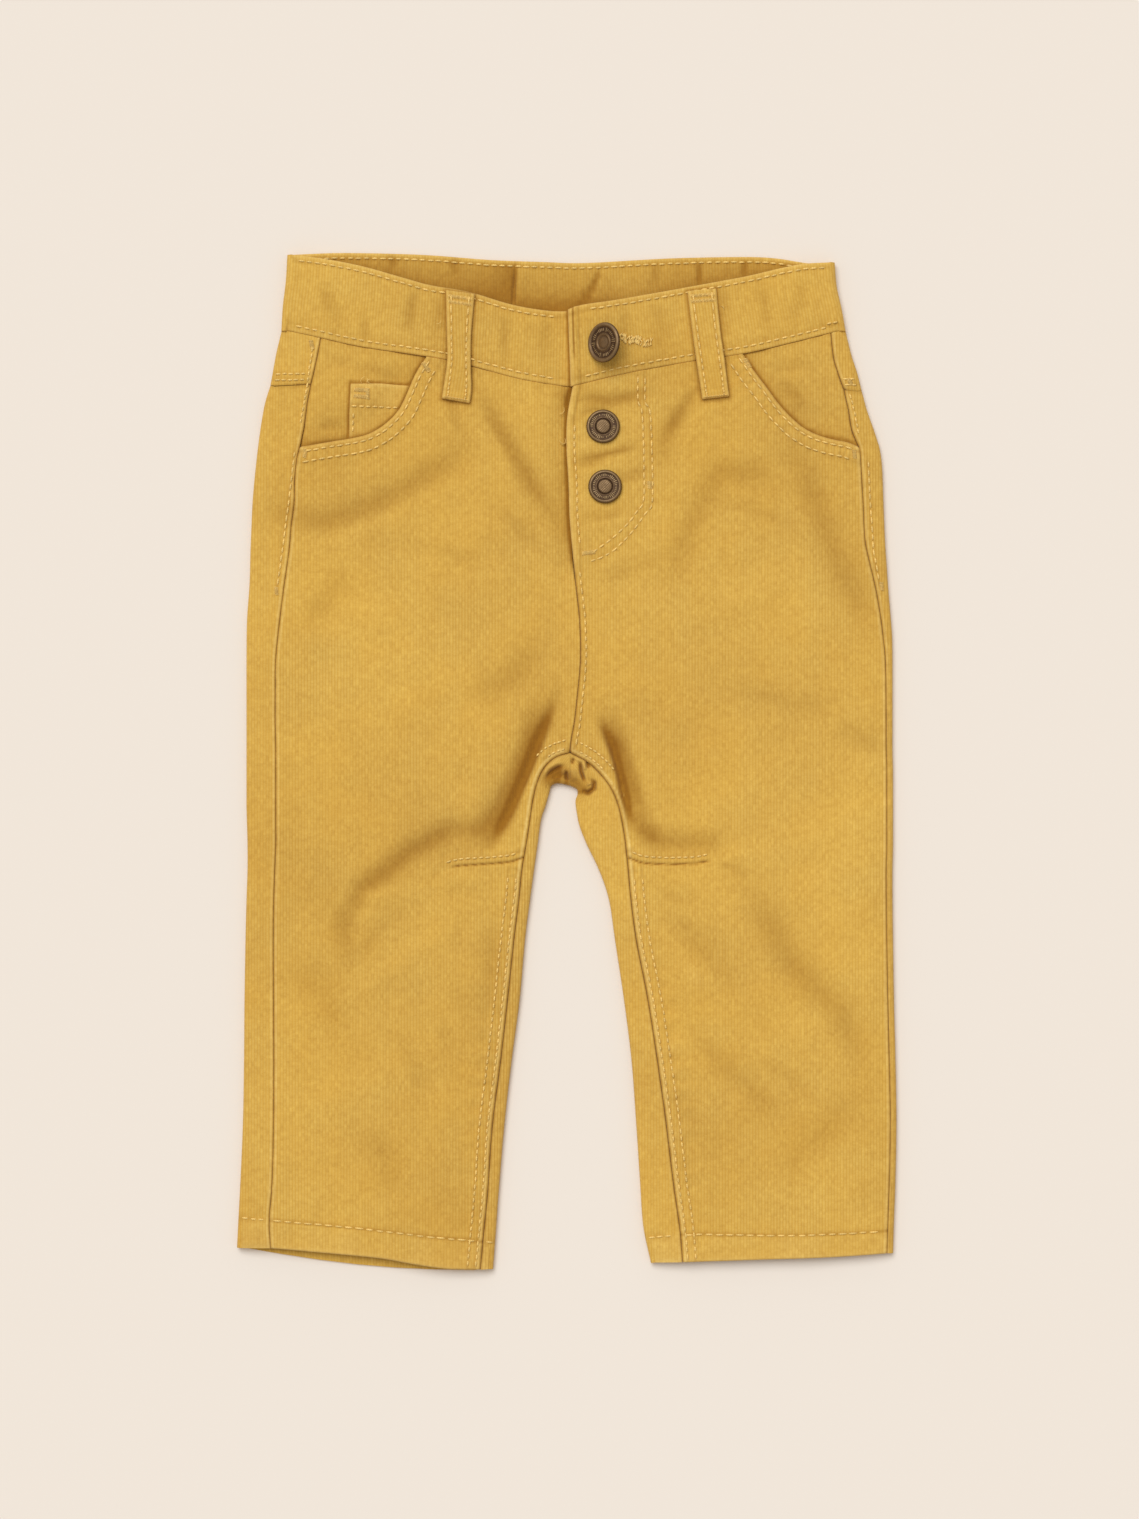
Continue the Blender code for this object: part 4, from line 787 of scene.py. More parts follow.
def uneven_tone():
    """A group that gives a value round 1 that changes softly over the cloth or metal."""
    group = bpy.data.node_groups.new("uneven_tone", "ShaderNodeTree")
    group.interface.new_socket("Place", in_out="INPUT", socket_type="NodeSocketVector")
    for name in ("Scale", "Least", "Most"):
        group.interface.new_socket(name, in_out="INPUT", socket_type="NodeSocketFloat")
    group.interface.new_socket("Tone", in_out="OUTPUT", socket_type="NodeSocketFloat")
    start, end = group.nodes.new("NodeGroupInput"), group.nodes.new("NodeGroupOutput")
    noise = node(group, "ShaderNodeTexNoise", {
        "Vector": start.outputs["Place"], "Scale": start.outputs["Scale"], "Detail": 3, "Roughness": 0.6,
    })
    spread = node(group, "ShaderNodeMapRange", {
        "Value": noise.outputs[0], "From Min": 0.3, "From Max": 0.7,
        "To Min": start.outputs["Least"], "To Max": start.outputs["Most"],
    })
    group.links.new(spread.outputs[0], end.inputs["Tone"])
    return group


UNEVEN_TONE = uneven_tone()


def uneven(tree, place, scale, least, most):
    """The tone group placed in a material with its own values."""
    inputs = {"Place": place, "Scale": scale, "Least": least, "Most": most}
    return node(tree, "ShaderNodeGroup", inputs, node_tree=UNEVEN_TONE).outputs[0]


def attribute_parts(tree, name):
    """The three values of an attribute."""
    vector = node(tree, "ShaderNodeAttribute", attribute_name=name).outputs["Vector"]
    return node(tree, "ShaderNodeSeparateXYZ", {0: vector}).outputs


def math_node(tree, first, second=0.0, operation="MULTIPLY"):
    """A Math node's result, a product where nothing else is asked for."""
    return node(tree, "ShaderNodeMath", {0: first, 1: second}, operation=operation).outputs[0]


def mixed(tree, share, first, second, blend="MIX"):
    """A colour Mix node's result."""
    made = node(tree, "ShaderNodeMix", {0: share, 6: first, 7: second}, data_type="RGBA", blend_type=blend)
    return made.outputs[2]


def needlecord():
    """Cotton needlecord: paler ribs over deeper grooves, each rib flecked along its length, with
    softly mottled dye, pale edges that are partly rubbed and partly painted highlight, painted shade
    in creases, hollows and seams, and a short fuzz in the bump."""
    made, tree = material("mustard_needlecord")
    weave, marks = attribute_parts(tree, "weave"), attribute_parts(tree, "wear")
    place = node(tree, "ShaderNodeTexCoord").outputs["Object"]
    phase = math_node(tree, weave[0], 1 / RIB_PITCH)
    wave = math_node(tree, math_node(tree, phase, 2 * np.pi), operation="COSINE")
    crest = node(tree, "ShaderNodeMapRange", {"Value": wave, "From Min": -1, "From Max": 0.7}).outputs[0]
    rib = math_node(tree, math_node(tree, phase, 0.5, "ADD"), operation="FLOOR")
    rib_place = node(tree, "ShaderNodeCombineXYZ", {
        0: math_node(tree, rib, 3.7), 1: math_node(tree, weave[1], 0.4),
    }).outputs[0]
    fleck = uneven(tree, rib_place, 1, 0.87, 1.13)
    mottle = uneven(tree, place, 26, 0, 1)
    dye = uneven(tree, place, 12, 0.88, 1.09)
    fuzz = uneven(tree, place, 2600, 0.93, 1.07)
    tone = mixed(tree, crest, GROOVE_TONE, RIB_TONE)
    warm = mixed(tree, math_node(tree, mottle, 0.5), tone, WARM_TONE)
    # Pale places, from wear and painted highlight, mix toward the pale tone.
    wear_and_highlight = mixed(tree, math_node(tree, marks[0], 0.42), warm, WEAR_AND_HIGHLIGHT_TONE)
    # Painted shade mixes the colour toward dark brown.
    painted_shade = mixed(tree, math_node(tree, marks[1], 0.85), wear_and_highlight, PAINTED_SHADE_TONE)
    share = math_node(tree, math_node(tree, fleck, dye), fuzz)
    shade = node(tree, "ShaderNodeCombineXYZ", {
        0: math_node(tree, share, 0.7, "POWER"), 1: share, 2: math_node(tree, share, 1.5, "POWER"),
    }).outputs[0]
    colour = mixed(tree, 1, painted_shade, shade, "MULTIPLY")
    nap = uneven(tree, place, 1500, 0, 1)
    bump = node(tree, "ShaderNodeBump", {"Height": nap, "Strength": 0.3, "Distance": 0.0001})
    surface(tree, {
        "Base Color": colour, "Roughness": 0.92, "Sheen Weight": 0.18, "Sheen Roughness": 0.5,
        "Sheen Tint": (1, 0.86, 0.6, 1), "Specular IOR Level": 0.25, "Normal": bump.outputs[0],
    })
    return made


NEEDLECORD = needlecord()
# The rows of a front's grid: from, to and the longest step, closer at the hem, dart and crotch.
FRONT_SPANS = (
    (0, 1.2, 0.3), (1.2, 14, 1), (14, 154, 2.2), (154, 167, 0.65), (167, 192, 2),
    (192, 208, 0.75), (208, 336, 2.3), (336, 352, 1.1), (352, 355, 0.45),
)


def front_panel(half):
    """A front panel from hem to waist seam, its top cut to the pocket mouth beyond the mouth's end."""
    side = SIDE[half]
    seam, inner, mouth, hem = SIDE_SEAM[half], INNER[half], MOUTH_LINE[half], HEM_LINE[half]
    below_corner = seam[seam[:, 1] <= POCKET_CORNER_Y + 0.01]
    mouth_x = side * MOUTH[half][-1 if side < 0 else 0][0]

    def top(x):
        waist = read_y(WAIST_LINE, x) - SEAM_GAP / 2
        return np.minimum(waist, np.where(side * x > mouth_x, read_y(mouth, x), waist))

    def at_side(y):
        return read_x(below_corner, y) - side * SEAM_GAP / 2

    def at_inner(y):
        underlap = FLY_UNDERLAP * smooth_step((y - FLY_FOOT_Y) / 4) if side < 0 else 0
        return read_x(inner, y) + side * SEAM_GAP / 2 + underlap

    columns = cord_columns(-119.2, 9.2) if side < 0 else cord_columns(0, 129.8)
    spans = steps(*FRONT_SPANS)
    left, right = (at_side, at_inner) if side < 0 else (at_inner, at_side)
    plan, stands_for = cut_plan(columns, spans / spans[-1], lambda x: read_y(hem, x), top, left, right)
    laid_piece(f"front_panel_{half}", f"front_{half}", plan, stands_for, front_face(plan, half),
               front_form(plan, side))


for half in SIDE:
    front_panel(half)


# The back panels.
# Two panels of the same cord under the fronts. Each lies flat on the board, rolls up round the side
# fold and the fold by the leg gap, and meets the front at the side seam and the inseam.

# The cells of a back's grid round its roll, over each wrap and along the board.
ROLL_CELLS = 10
SIDE_CELLS = 40
FORK_CELLS = 44
FLOOR_CELLS = 6
BACK_STEP = 2.2
CROTCH_STEP = 0.55
# Where a leg's two floors meet: how far across it from the side, and how far above the crotch fold.
FORK_SHARE = 0.94
FORK_DEPTH = 6.5
BACK_HEM_DROP = {"left": 3.0, "right": 0.0}
# The gathers where the backs turn up round the crotch.
GATHERS = [Fold(*row) for row in (
    (-1.8, 0.9, ((-8, -6.8), (-6.6, -4.8), (-5, -3.6), (-3, -2.5), (-1.2, -2.2))),
    (0.7, 1, ((-9, -6), (-7, -2.8), (-4.4, -1.2), (-1.4, -0.2))),
    (-1.2, 2, ((-6, -6.6), (-3.4, -5.6), (-1.6, -5.8))),
    (1, 0.7, ((-1.2, -2.8), (-0.8, -5.4))),
    (-1.7, 0.6, ((-0.2, -3.8), (0.2, -8.2))),
    (1, 1.4, ((2.4, -2.4), (3.2, -8.2))),
    (-1.4, 0.6, ((2.9, 1.2), (2.2, -1.4))),
    (0.9, 0.7, ((4, 0.9), (6.4, -0.4))),
    (-2, 0.7, ((5.5, 0), (5.9, -4.3), (7.4, -8.4))),
    (1.1, 0.7, ((6.8, -0.4), (7.5, -3.8))),
    (-1.6, 0.8, ((8.2, 0), (8.8, -3))),
    (1, 1, ((8.8, -8.6), (9.4, -9.6))),
    (-2, 0.9, ((6.2, -12), (8.8, -12.7), (11, -11), (11.2, -8.8), (9.4, -7.4))),
)]
# The crotch hollow below the gathers, along which the backs get painted shade.
HOLLOW = ((-7, -7.6), (-4.4, -5.4), (-1.6, -4.8), (1, -6.4), (3.6, -8.6), (6.4, -11))
WRAP_HEM = {
    "left": ((-134, -194.8), (-118.2, -194.8), (-34.4, -202.4), (-28, -202.6)),
    "right": ((30, -201.2), (46.5, -200.4), (128.2, -197), (134, -197)),
}
SIDE_ROW = {
    "left": ((-108.6, 124), (-111, 104), (-113.6, 84), (-115.8, 68)),
    "right": ((120.6, 120), (121.4, 104), (122.8, 84), (125.4, 70)),
}
YOKE_ROWS = (2.0, 4.4)
YOKE_SEAM = {"left": ((-120, 150.4), (-100, 150.4)), "right": ((109, 148.4), (120, 148.4))}


def wrap_face(plan, half):
    """The face of a back panel or yoke where it wraps to the front, its pale marks from rubbing and
    painted highlight, and its painted shade.
    """
    x, y = plan[..., 0], plan[..., 1]
    main = relief(plan, FOLDS)
    gathers = relief(plan, GATHERS) * smooth_step(near_line(plan, LEG_GAP)[0] / 2.4)
    to_side, along_side = near_line(plan, SIDE_SEAM[half])
    to_inseam, along_inseam = near_line(plan, INSEAM[half])
    to_hem = near_line(plan, WRAP_HEM[half])[0]
    to_hem_row = near_line(plan, HEM_STITCH_LINE[half])[0]
    to_yoke, along_yoke = near_line(plan, YOKE_SEAM[half])
    to_row = near_line(plan, SIDE_ROW[half])[0]
    to_waist = near_line(plan, WAIST_LINE)[0]
    sewn = 0.1 * unevenness(plan, 12, 40, 12)
    sewn += 0.12 * pucker(along_side, 9, 31) * bell(to_side, 5)
    sewn += 0.1 * pucker(along_inseam, 7, 32) * bell(to_inseam, 5)
    in_hem = y < read_y(HEM_STITCH_LINE[half], x)
    sewn += 0.4 * np.where(in_hem, smooth_step(to_hem_row / 1.2), 0)
    yoke_side = y > YOKE_SEAM[half][0][1]
    sewn += 0.35 * np.where(yoke_side, band_between(to_yoke, 0.4, 6, 1.4), 0)
    sewn += 0.12 * pucker(along_yoke, 5, 33) * bell(to_yoke - 3, 4)
    sunk = bell(to_hem_row, ROW_WIDTH) + bell(to_row, ROW_WIDTH)
    for row in YOKE_ROWS:
        sunk = sunk + np.where(yoke_side, bell(to_yoke - row, ROW_WIDTH), 0)
    falls = seam_fall(to_side) + seam_fall(to_inseam)
    falls += seam_fall(to_yoke) + rounded(to_hem, 0.8) + seam_fall(to_waist, 0.4)
    quiet = np.minimum.reduce([to_side, to_inseam, to_hem, to_yoke])
    height = garment_top(plan, main) + gathers + sewn - ROW_DEPTH * sunk - falls
    height += ribs(x, smooth_step(quiet / 0.9))
    # Pale places: wear at the hem, and painted highlight on the tops of the crotch gathers and on the
    # ridges beside the seams.
    wear_and_highlight = bell(to_hem, 1.3) + 0.35 * in_hem + 0.5 * np.clip(gathers, 0, 1)
    wear_and_highlight += 0.4 * band_between(to_inseam, 0.5, 1.3, 0.5) + 1.2 * band_between(to_side, 0.5, 1.3, 0.5)
    # Painted shade in fold troughs, between the crotch gathers, along the crotch hollow, in the stitch
    # rows, along the seams and under the yoke seam.
    hollow = bell(near_line(plan, HOLLOW)[0], 3)
    painted_shade = np.clip(-main / 1.6, 0, 1) + np.clip(-gathers / 1.5, 0, 1) + 0.9 * hollow + 0.3 * sunk
    painted_shade += seam_shade(to_side, along_side, 0.42) + seam_shade(to_inseam, along_inseam, 0.62)
    painted_shade += 0.5 * np.where(yoke_side, 0, bell(to_yoke, 0.9))
    return height, np.clip(wear_and_highlight, 0, 1.8), np.clip(painted_shade, 0, 1.15)


def between(start, end, cells):
    """Evenly spaced points from each start to each end, both included."""
    part = np.linspace(0, 1, cells + 1)[None, :, None]
    return (1 - part) * start[:, None] + part * end[:, None]


def rolled(edge, normal, radius, turns):
    """A roll of cloth: r (cos t, sin t) about a line one edge radius inside the edge and as far up."""
    plan = edge[:, None] + normal[:, None] * (EDGE_RADIUS - radius * np.cos(turns))[None, :, None]
    return level(plan, EDGE_RADIUS + radius * np.sin(turns))


def moved(line, toward, by):
    """A line moved sideways, to the side where the other points are, and its unit normals."""
    run = np.gradient(line, axis=0)
    normal = np.stack([-run[:, 1], run[:, 0]], axis=1) / np.linalg.norm(run, axis=1)[:, None]
    normal *= np.sign(np.sum(normal * (toward - line), axis=1))[:, None]
    return line + by * normal, normal


def wrapped_layers(seam, edge, normal, inside, wrap_cells, floor_cells, half):
    """A back piece from its seam, over the wrap, round the roll and along the board, as an outer and
    an inner layer, with the pale marks and painted shade of each place and how far across the weave
    it is."""
    turns = np.radians(np.linspace(90, -90, ROLL_CELLS + 1))
    shoulder = edge + normal * EDGE_RADIUS
    wrap = between(seam, shoulder, wrap_cells)[:, :-1]
    floor = between(shoulder, inside, floor_cells)[:, 1:]
    height, wear_and_highlight, painted_shade = wrap_face(wrap, half)
    outer = [level(wrap, height), rolled(edge, normal, EDGE_RADIUS, turns), level(floor, 0)]
    inner = [level(wrap, np.maximum(np.minimum(garment_top(wrap), height), 2.1) - CLOTH)]
    inner += [rolled(edge, normal, EDGE_RADIUS - CLOTH, turns), level(floor, CLOTH)]
    outer, inner = np.concatenate(outer, axis=1), np.concatenate(inner, axis=1)
    wear = np.stack([wear_and_highlight, painted_shade, 0 * wear_and_highlight], axis=-1)
    # The painted shade at the wrap's edge carries on round the roll and fades as it turns under.
    spare = np.zeros((len(seam), outer.shape[1] - wrap_cells, 3))
    spare[:, : len(turns), 1] = painted_shade[:, -1:] * np.cos((np.pi / 2 - turns) / 2)
    wear = np.concatenate([wear, spare], axis=1)
    across = seam[:, :1] + np.sign(edge[:, :1] - seam[:, :1]) * run_along(outer, 1)
    return outer, inner, wear, across


def closed_wall(rows, columns, cells=True):
    """The triangles of a wall between two like grids of points, with a rim wherever a cell has no
    neighbour. Where cells is False the cloth is cut away."""
    count = rows * columns
    quads = grid_quads(np.arange(count).reshape(rows, columns))
    quads = quads[np.broadcast_to(cells, quads.shape[:2])]
    ends = np.concatenate([quads[:, [k, (k + 1) % 4]] for k in range(4)])
    alone = ends[~np.isin(ends[:, 0] * count + ends[:, 1], ends[:, 1] * count + ends[:, 0])]
    rim = np.stack([alone[:, 1], alone[:, 0], alone[:, 0] + count, alone[:, 1] + count], axis=1)
    return halved(np.concatenate([quads, quads[:, ::-1] + count, rim]))


def wall_piece(name, replaced, outer, inner, across, wear, along=None, cells=True):
    """A piece of cloth between an outer and an inner layer of like points."""
    along = outer[..., 1] if along is None else along
    weave = np.stack([np.broadcast_to(across, along.shape), along, 0 * along], axis=-1)
    faces = closed_wall(*outer.shape[:2], cells)
    cloth_piece(name, replaced, (outer, inner), faces, weave, wear)


def back_panel(half):
    """A back panel: the leg from side seam to inseam, and above the crotch as far as centre back."""
    side = SIDE[half]
    legs, body = LEGS[half], BODIES[half]
    own = CENTRE_BACK_X + side * SEAM_GAP / 2
    sides = np.array([((row.side_x, row.side_y), (row.edge_x, row.side_y)) for row in (*legs, *body)])
    forks = np.array([((row.fold_x, row.fold_y), (row.seam_x, row.seam_y)) for row in legs])
    spans = np.abs(np.diff(sides[:, 0, 1]))
    fork_spans = np.linalg.norm(np.diff(forks[:, 1], axis=0), axis=1)
    spans[: len(legs) - 1] = np.maximum(spans[: len(legs) - 1], fork_spans)
    by_crotch = (np.arange(len(spans)) > len(legs) - 7) & (np.arange(len(spans)) < len(legs) - 1)
    cells = np.ceil(spans / np.where(by_crotch, CROTCH_STEP, BACK_STEP)).astype(int)
    parts = [first + np.linspace(0, 1, count, endpoint=False) for first, count in enumerate(cells)]
    places = np.concatenate([*parts, [len(spans)]])
    fork_places = places[places <= len(legs) - 1]
    count = len(fork_places)
    seam, edge = np.moveaxis(curve_at(sides, places, (len(legs) - 1, len(sides) - 4)), 1, 0)
    seam = moved(seam, edge, SEAM_GAP / 2)[0]
    normal = moved(edge, np.zeros(2), 0.0)[1]
    fold, inseam = np.moveaxis(curve_at(forks, fork_places), 1, 0)
    fold_normal = moved(fold, inseam, 0)[1]
    inseam = moved(inseam, fold, SEAM_GAP / 2)[0]
    fold[-1, 0], fold_normal[-1] = own, (0, 1)
    inseam[-1] = own, CROTCH[1] - SEAM_GAP
    shoulder = edge[:count] + normal[:count] * EDGE_RADIUS
    landing = fold + fold_normal * EDGE_RADIUS
    centre = shoulder + FORK_SHARE * (landing - shoulder)
    centre[-1] = own, fold[-1, 1] + FORK_DEPTH
    backs = np.array([(own, row.back_y) for row in body])
    rise = curve_at(np.concatenate([centre[-1:], backs]), places[count:] - (len(legs) - 1))
    centre = np.concatenate([centre, rise])
    main = wrapped_layers(seam, edge, normal, centre, SIDE_CELLS, FLOOR_CELLS, half)
    fork = wrapped_layers(inseam, fold, fold_normal, centre[:count], FORK_CELLS, 1, half)
    layers = []
    for one, other in zip(main, fork):
        turned = other[:, -2::-1]
        spare = np.repeat(turned[-1:], len(places) - count, axis=0)
        layers.append(np.concatenate([one, np.concatenate([turned, spare])], axis=1))
    outer, inner, wear, across = layers
    floor = outer[0, :, 2] == 0
    for layer in (outer, inner):
        layer[0, floor, 1] -= BACK_HEM_DROP[half] * np.sin(np.linspace(0, np.pi, floor.sum()))
        layer[-1, :, 1] -= SEAM_GAP / 2
    cells = np.ones((outer.shape[0] - 1, outer.shape[1] - 1), bool)
    cells[count - 1 :, main[0].shape[1] - 1 :] = False
    wall_piece(f"back_panel_{half}", f"back_{half}", outer, inner, across, wear,
               cells=cells)


def back_yoke(half):
    """A back yoke, from the yoke seam to the waistband, wrapped to the front at the side."""
    side = SIDE[half]
    rows = YOKES[half]
    places = np.linspace(0, len(rows) - 1, 17)
    sides = curve_at([((row.side_x, row.side_y), (row.edge_x, row.edge_y)) for row in rows], places)
    seam, edge = sides[:, 0], sides[:, 1]
    centre = curve_at([(CENTRE_BACK_X + side * SEAM_GAP / 2, row.back_y) for row in rows], places)
    normal = moved(edge, np.zeros(2), 0.0)[1]
    seam = moved(seam, edge, SEAM_GAP / 2)[0]
    outer, inner, wear, across = wrapped_layers(seam, edge, normal, centre, SIDE_CELLS, FLOOR_CELLS, half)
    for layer in (outer, inner):
        layer[0, :, 1] += SEAM_GAP / 2
        at_waist = read_y(WAIST_LINE, layer[-1, :, 0])
        layer[-1, :, 1] = np.where(layer[-1, :, 2] > EDGE_RADIUS, at_waist, layer[-1, :, 1]) - SEAM_GAP / 2
    wall_piece(f"back_yoke_{half}", f"yoke_{half}", outer, inner, across, wear)


for half in SIDE:
    back_panel(half)
    back_yoke(half)


# The hip pocket facings.
# A piece of cord fills each pocket mouth and runs on under the front panel. It is sewn into the side
# seam and the waist seam.

FACING_UNDER = 7.0
FACING_DEPTH = {"left": 2.4, "right": 1.3}
FACING_DEPTH_BY_SEAM = 1.15
FACING_DEPTH_SEAM = 0.3
FACING_RISE_START = 3.0
FACING_RISE_RUN = 12.0
# The upper edge and the side of the coin pocket on the left facing.
COIN_TOP = ((-88.6, 151), (-86.2, 150.8), (-74, 150.9), (-60.8, 150))
COIN_SIDE = ((-87, 128), (-86.9, 138), (-86.2, 151.2))
COIN_RIM = COIN_SIDE + COIN_TOP[1:]
FACING_FOLDS = [Fold(*row) for row in (
    (-0.35, 2.6, ((-98, 163), (-88, 158), (-76, 156), (-66, 152))),
    (0.3, 2.4, ((-96, 150), (-88, 156), (-80, 161))),
    (-0.3, 2.2, ((-100, 133), (-94, 134), (-88, 133))),
    (0.25, 2, ((-101, 129.6), (-92, 130.6))),
    (-0.4, 3, ((84, 152), (92, 146), (95, 138))),
    (0.3, 3, ((88, 155), (97, 150), (101, 142))),
    (-0.25, 2.6, ((79, 158), (90, 157), (100, 160))),
)]


def facing_form(plan, half):
    """A facing's face: below the front near the mouth, and up to the seams beyond it."""
    away = near_line(plan, MOUTH_LINE[half])[0]
    side = SIDE[half]
    beyond = side * plan[..., 0] > side * MOUTH[half][-1 if side < 0 else 0][0]
    in_mouth = beyond & (plan[..., 1] > read_y(MOUTH_LINE[half], plan[..., 0]))
    rise = smooth_step((away - FACING_RISE_START) / FACING_RISE_RUN) * in_mouth
    to_seam = np.minimum(near_line(plan, SIDE_SEAM[half])[0], near_line(plan, WAIST_LINE)[0])
    deeper = (FACING_DEPTH[half] - FACING_DEPTH_BY_SEAM) * smooth_step((to_seam - 1) / 11)
    depth = FACING_DEPTH_BY_SEAM + deeper
    return garment_top(plan) - depth - (FACING_DEPTH_SEAM - depth) * rise


def facing_face(plan, half):
    """A facing's face with its creases, its seams and the shadowed edge by the mouth."""
    to_side, along_side = near_line(plan, SIDE_SEAM[half])
    to_mouth = near_line(plan, MOUTH_LINE[half])[0]
    to_waist, along_waist = near_line(plan, WAIST_LINE)
    form = facing_form(plan, half)
    shown = smooth_step((to_mouth + 1) / 5)
    sewn = relief(plan, FACING_FOLDS) * shown + 0.1 * unevenness(plan, 9, 30, 13) * shown
    sewn += 0.12 * pucker(along_side, 8, 41) * bell(to_side, 4)
    sewn += 0.12 * pucker(along_waist, 8, 42) * bell(to_waist, 5)
    falls = seam_fall(to_side) + seam_fall(to_waist, 0.25)
    height = form + sewn - falls + ribs(plan[..., 0], smooth_step(np.minimum(to_side, to_waist) / 0.9))
    # Painted shadow along the edge of the pocket mouth and, on the left, round the coin pocket, and painted
    # shade along the seams and in the creases.
    painted_shade = 0.95 * bell(to_mouth, 1) + 0.3 * bell(to_mouth, 4)
    painted_shade += 0.6 * bell(to_side, 0.6) + 0.2 * bell(to_waist, 1.2)
    painted_shade += np.clip(-relief(plan, FACING_FOLDS) / 1.2, 0, 0.5)
    if half == "left":
        painted_shade += 1.2 * bell(near_line(plan, COIN_RIM)[0], 1)
    return height, 0 * painted_shade, np.clip(painted_shade, 0, 1)


def hip_facing(half):
    """A facing between its side seam, the waist seam and a line under the mouth."""
    side = SIDE[half]
    foot_line = moved(MOUTH_LINE[half], np.array([side * 40.0, 60.0]), FACING_UNDER)[0]
    seam = SIDE_SEAM[half][SIDE_SEAM[half][:, 1] > 116]
    low_x, high_x = sorted((side * 120, side * 52))
    gap = np.linspace(low_x, high_x, 400)
    open_x = gap[read_y(WAIST_LINE, gap) - read_y(foot_line, gap) > 2]
    inner_x = open_x.min() if side > 0 else open_x.max()
    columns = cord_columns(low_x, high_x)
    shares = steps((0, 48, 1.3), (48, 50, 0.5)) / 50

    def at_side(y):
        return read_x(seam, y) - side * SEAM_GAP / 2

    def at_inner(y):
        return np.full_like(y, inner_x)

    left, right = (at_side, at_inner) if side < 0 else (at_inner, at_side)
    plan, stands_for = cut_plan(columns, shares, lambda x: read_y(foot_line, x),
                                lambda x: read_y(WAIST_LINE, x) - SEAM_GAP / 2, left, right)
    laid_piece(f"hip_facing_{half}", f"pocket_facing_{half}", plan, stands_for, facing_face(plan, half),
               facing_form(plan, half))


for half in SIDE:
    hip_facing(half)


# The coin pocket.
# A small patch of cord on the left facing. Its top is hemmed with one row of stitches, its side is
# turned under, and it runs in under the pocket mouth.

COIN_CLOTH = 0.8
COIN_UNDER = 2.0
COIN_HEM = ((-86, 141.9), (-76, 141.6), (-65.6, 141.2))


def coin_form(plan):
    """The coin pocket's face: one cloth above the facing."""
    return facing_form(plan, "left") + SEAM_GAP + COIN_CLOTH


def coin_face(plan):
    """The coin pocket's face with its hem, its turned edges, its pale marks from rubbing and painted
    highlight, and its painted shadow by the mouth.
    """
    to_top = near_line(plan, COIN_TOP)[0]
    to_side, along_side = near_line(plan, COIN_SIDE)
    to_hem, along_hem = near_line(plan, COIN_HEM)
    to_mouth = near_line(plan, MOUTH_LINE["left"])[0]
    in_hem = plan[..., 1] > read_y(np.array(COIN_HEM), plan[..., 0])
    sewn = 0.25 * np.where(in_hem, smooth_step(to_hem / 1.2), 0) + 0.06 * unevenness(plan, 6, 18, 14)
    sewn += 0.12 * pucker(along_hem, 5, 43) * bell(to_hem, 2.5)
    sewn += 0.1 * pucker(along_side, 5, 44) * bell(to_side, 3)
    falls = rounded(to_top, 0.7) + rounded(to_side, 0.7)
    sunk = bell(to_hem, ROW_WIDTH)
    height = coin_form(plan) + np.minimum(sewn, to_mouth * 0.2) - falls - 0.12 * sunk
    height += ribs(plan[..., 0], smooth_step(np.minimum(to_top, to_side) / 0.9))
    wear_and_highlight = 0.7 * bell(to_top - 0.6, 0.7) + 0.6 * bell(to_side - 0.6, 0.7)
    wear_and_highlight += 0.15 + 0.15 * in_hem
    # Painted shadow of the mouth's edge, and painted shade in the stitch row.
    painted_shade = 0.95 * bell(to_mouth, 1) + 0.15 * bell(to_mouth, 4) + 0.3 * sunk
    return height, np.clip(wear_and_highlight, 0, 1), np.clip(painted_shade, 0, 1)


def coin_pocket():
    """The patch between its side, its hemmed top and a line just under the mouth."""
    foot_line = moved(MOUTH_LINE["left"], np.array([-40.0, 60.0]), COIN_UNDER)[0]
    top_line, side_line = np.array(COIN_TOP), np.array(COIN_SIDE)
    plan, stands_for = cut_plan(
        cord_columns(-88, -60), steps((0, 20, 1), (20, 21, 0.35)) / 21,
        lambda x: read_y(foot_line, x),
        lambda x: np.maximum(read_y(top_line, x), read_y(foot_line, x) + 0.3),
        lambda y: read_x(side_line, y), lambda y: np.full_like(y, -60.8),
    )
    laid_piece("coin_pocket_patch", "coin_pocket", plan, stands_for, coin_face(plan), coin_form(plan),
               COIN_CLOTH)


coin_pocket()


# The waistband.
# One strip of doubled cord, sewn round the waist seam. It runs from the underlap on the left front
# round the back, where its inside shows, to the end that laps over and buttons on the right front.

BAND_CLOTH = 2.2
BAND_RADIUS = 2.6
BAND_PROUD = 1.0
BAND_LAP_DROP = 1.4
BAND_LAP_RISE = 1.2
BAND_UNDERLAP_X = 29.4
BAND_BACK_FOOT_Y = 172.0
BAND_FOLD_X = (-111.8, 107.4)
BAND_TOP = {
    "underlap": (
        (-111.8, 202.8), (-99.8, 201.2), (-82.6, 198), (-65.4, 193.2), (-54.6, 190.2), (-43.4, 188.4),
        (-35, 186.4), (-21.8, 182.4), (-9, 180.2), (0, 180), (14, 181), (29.4, 183),
    ),
    "lap": (
        (0.6, 180.4), (6.2, 182.2), (23.4, 184.8), (49.4, 189.6), (71, 193.6), (92.6, 198.4),
        (107.4, 199.6),
    ),
    "back": (
        (-111.8, 202.8), (-88.6, 203.6), (-56.6, 202.8), (-30.6, 200.8), (-9, 200), (7.8, 199.6),
        (40.6, 201.4), (71, 202), (84.2, 201.4), (97.4, 199.4), (107.4, 199.6),
    ),
}
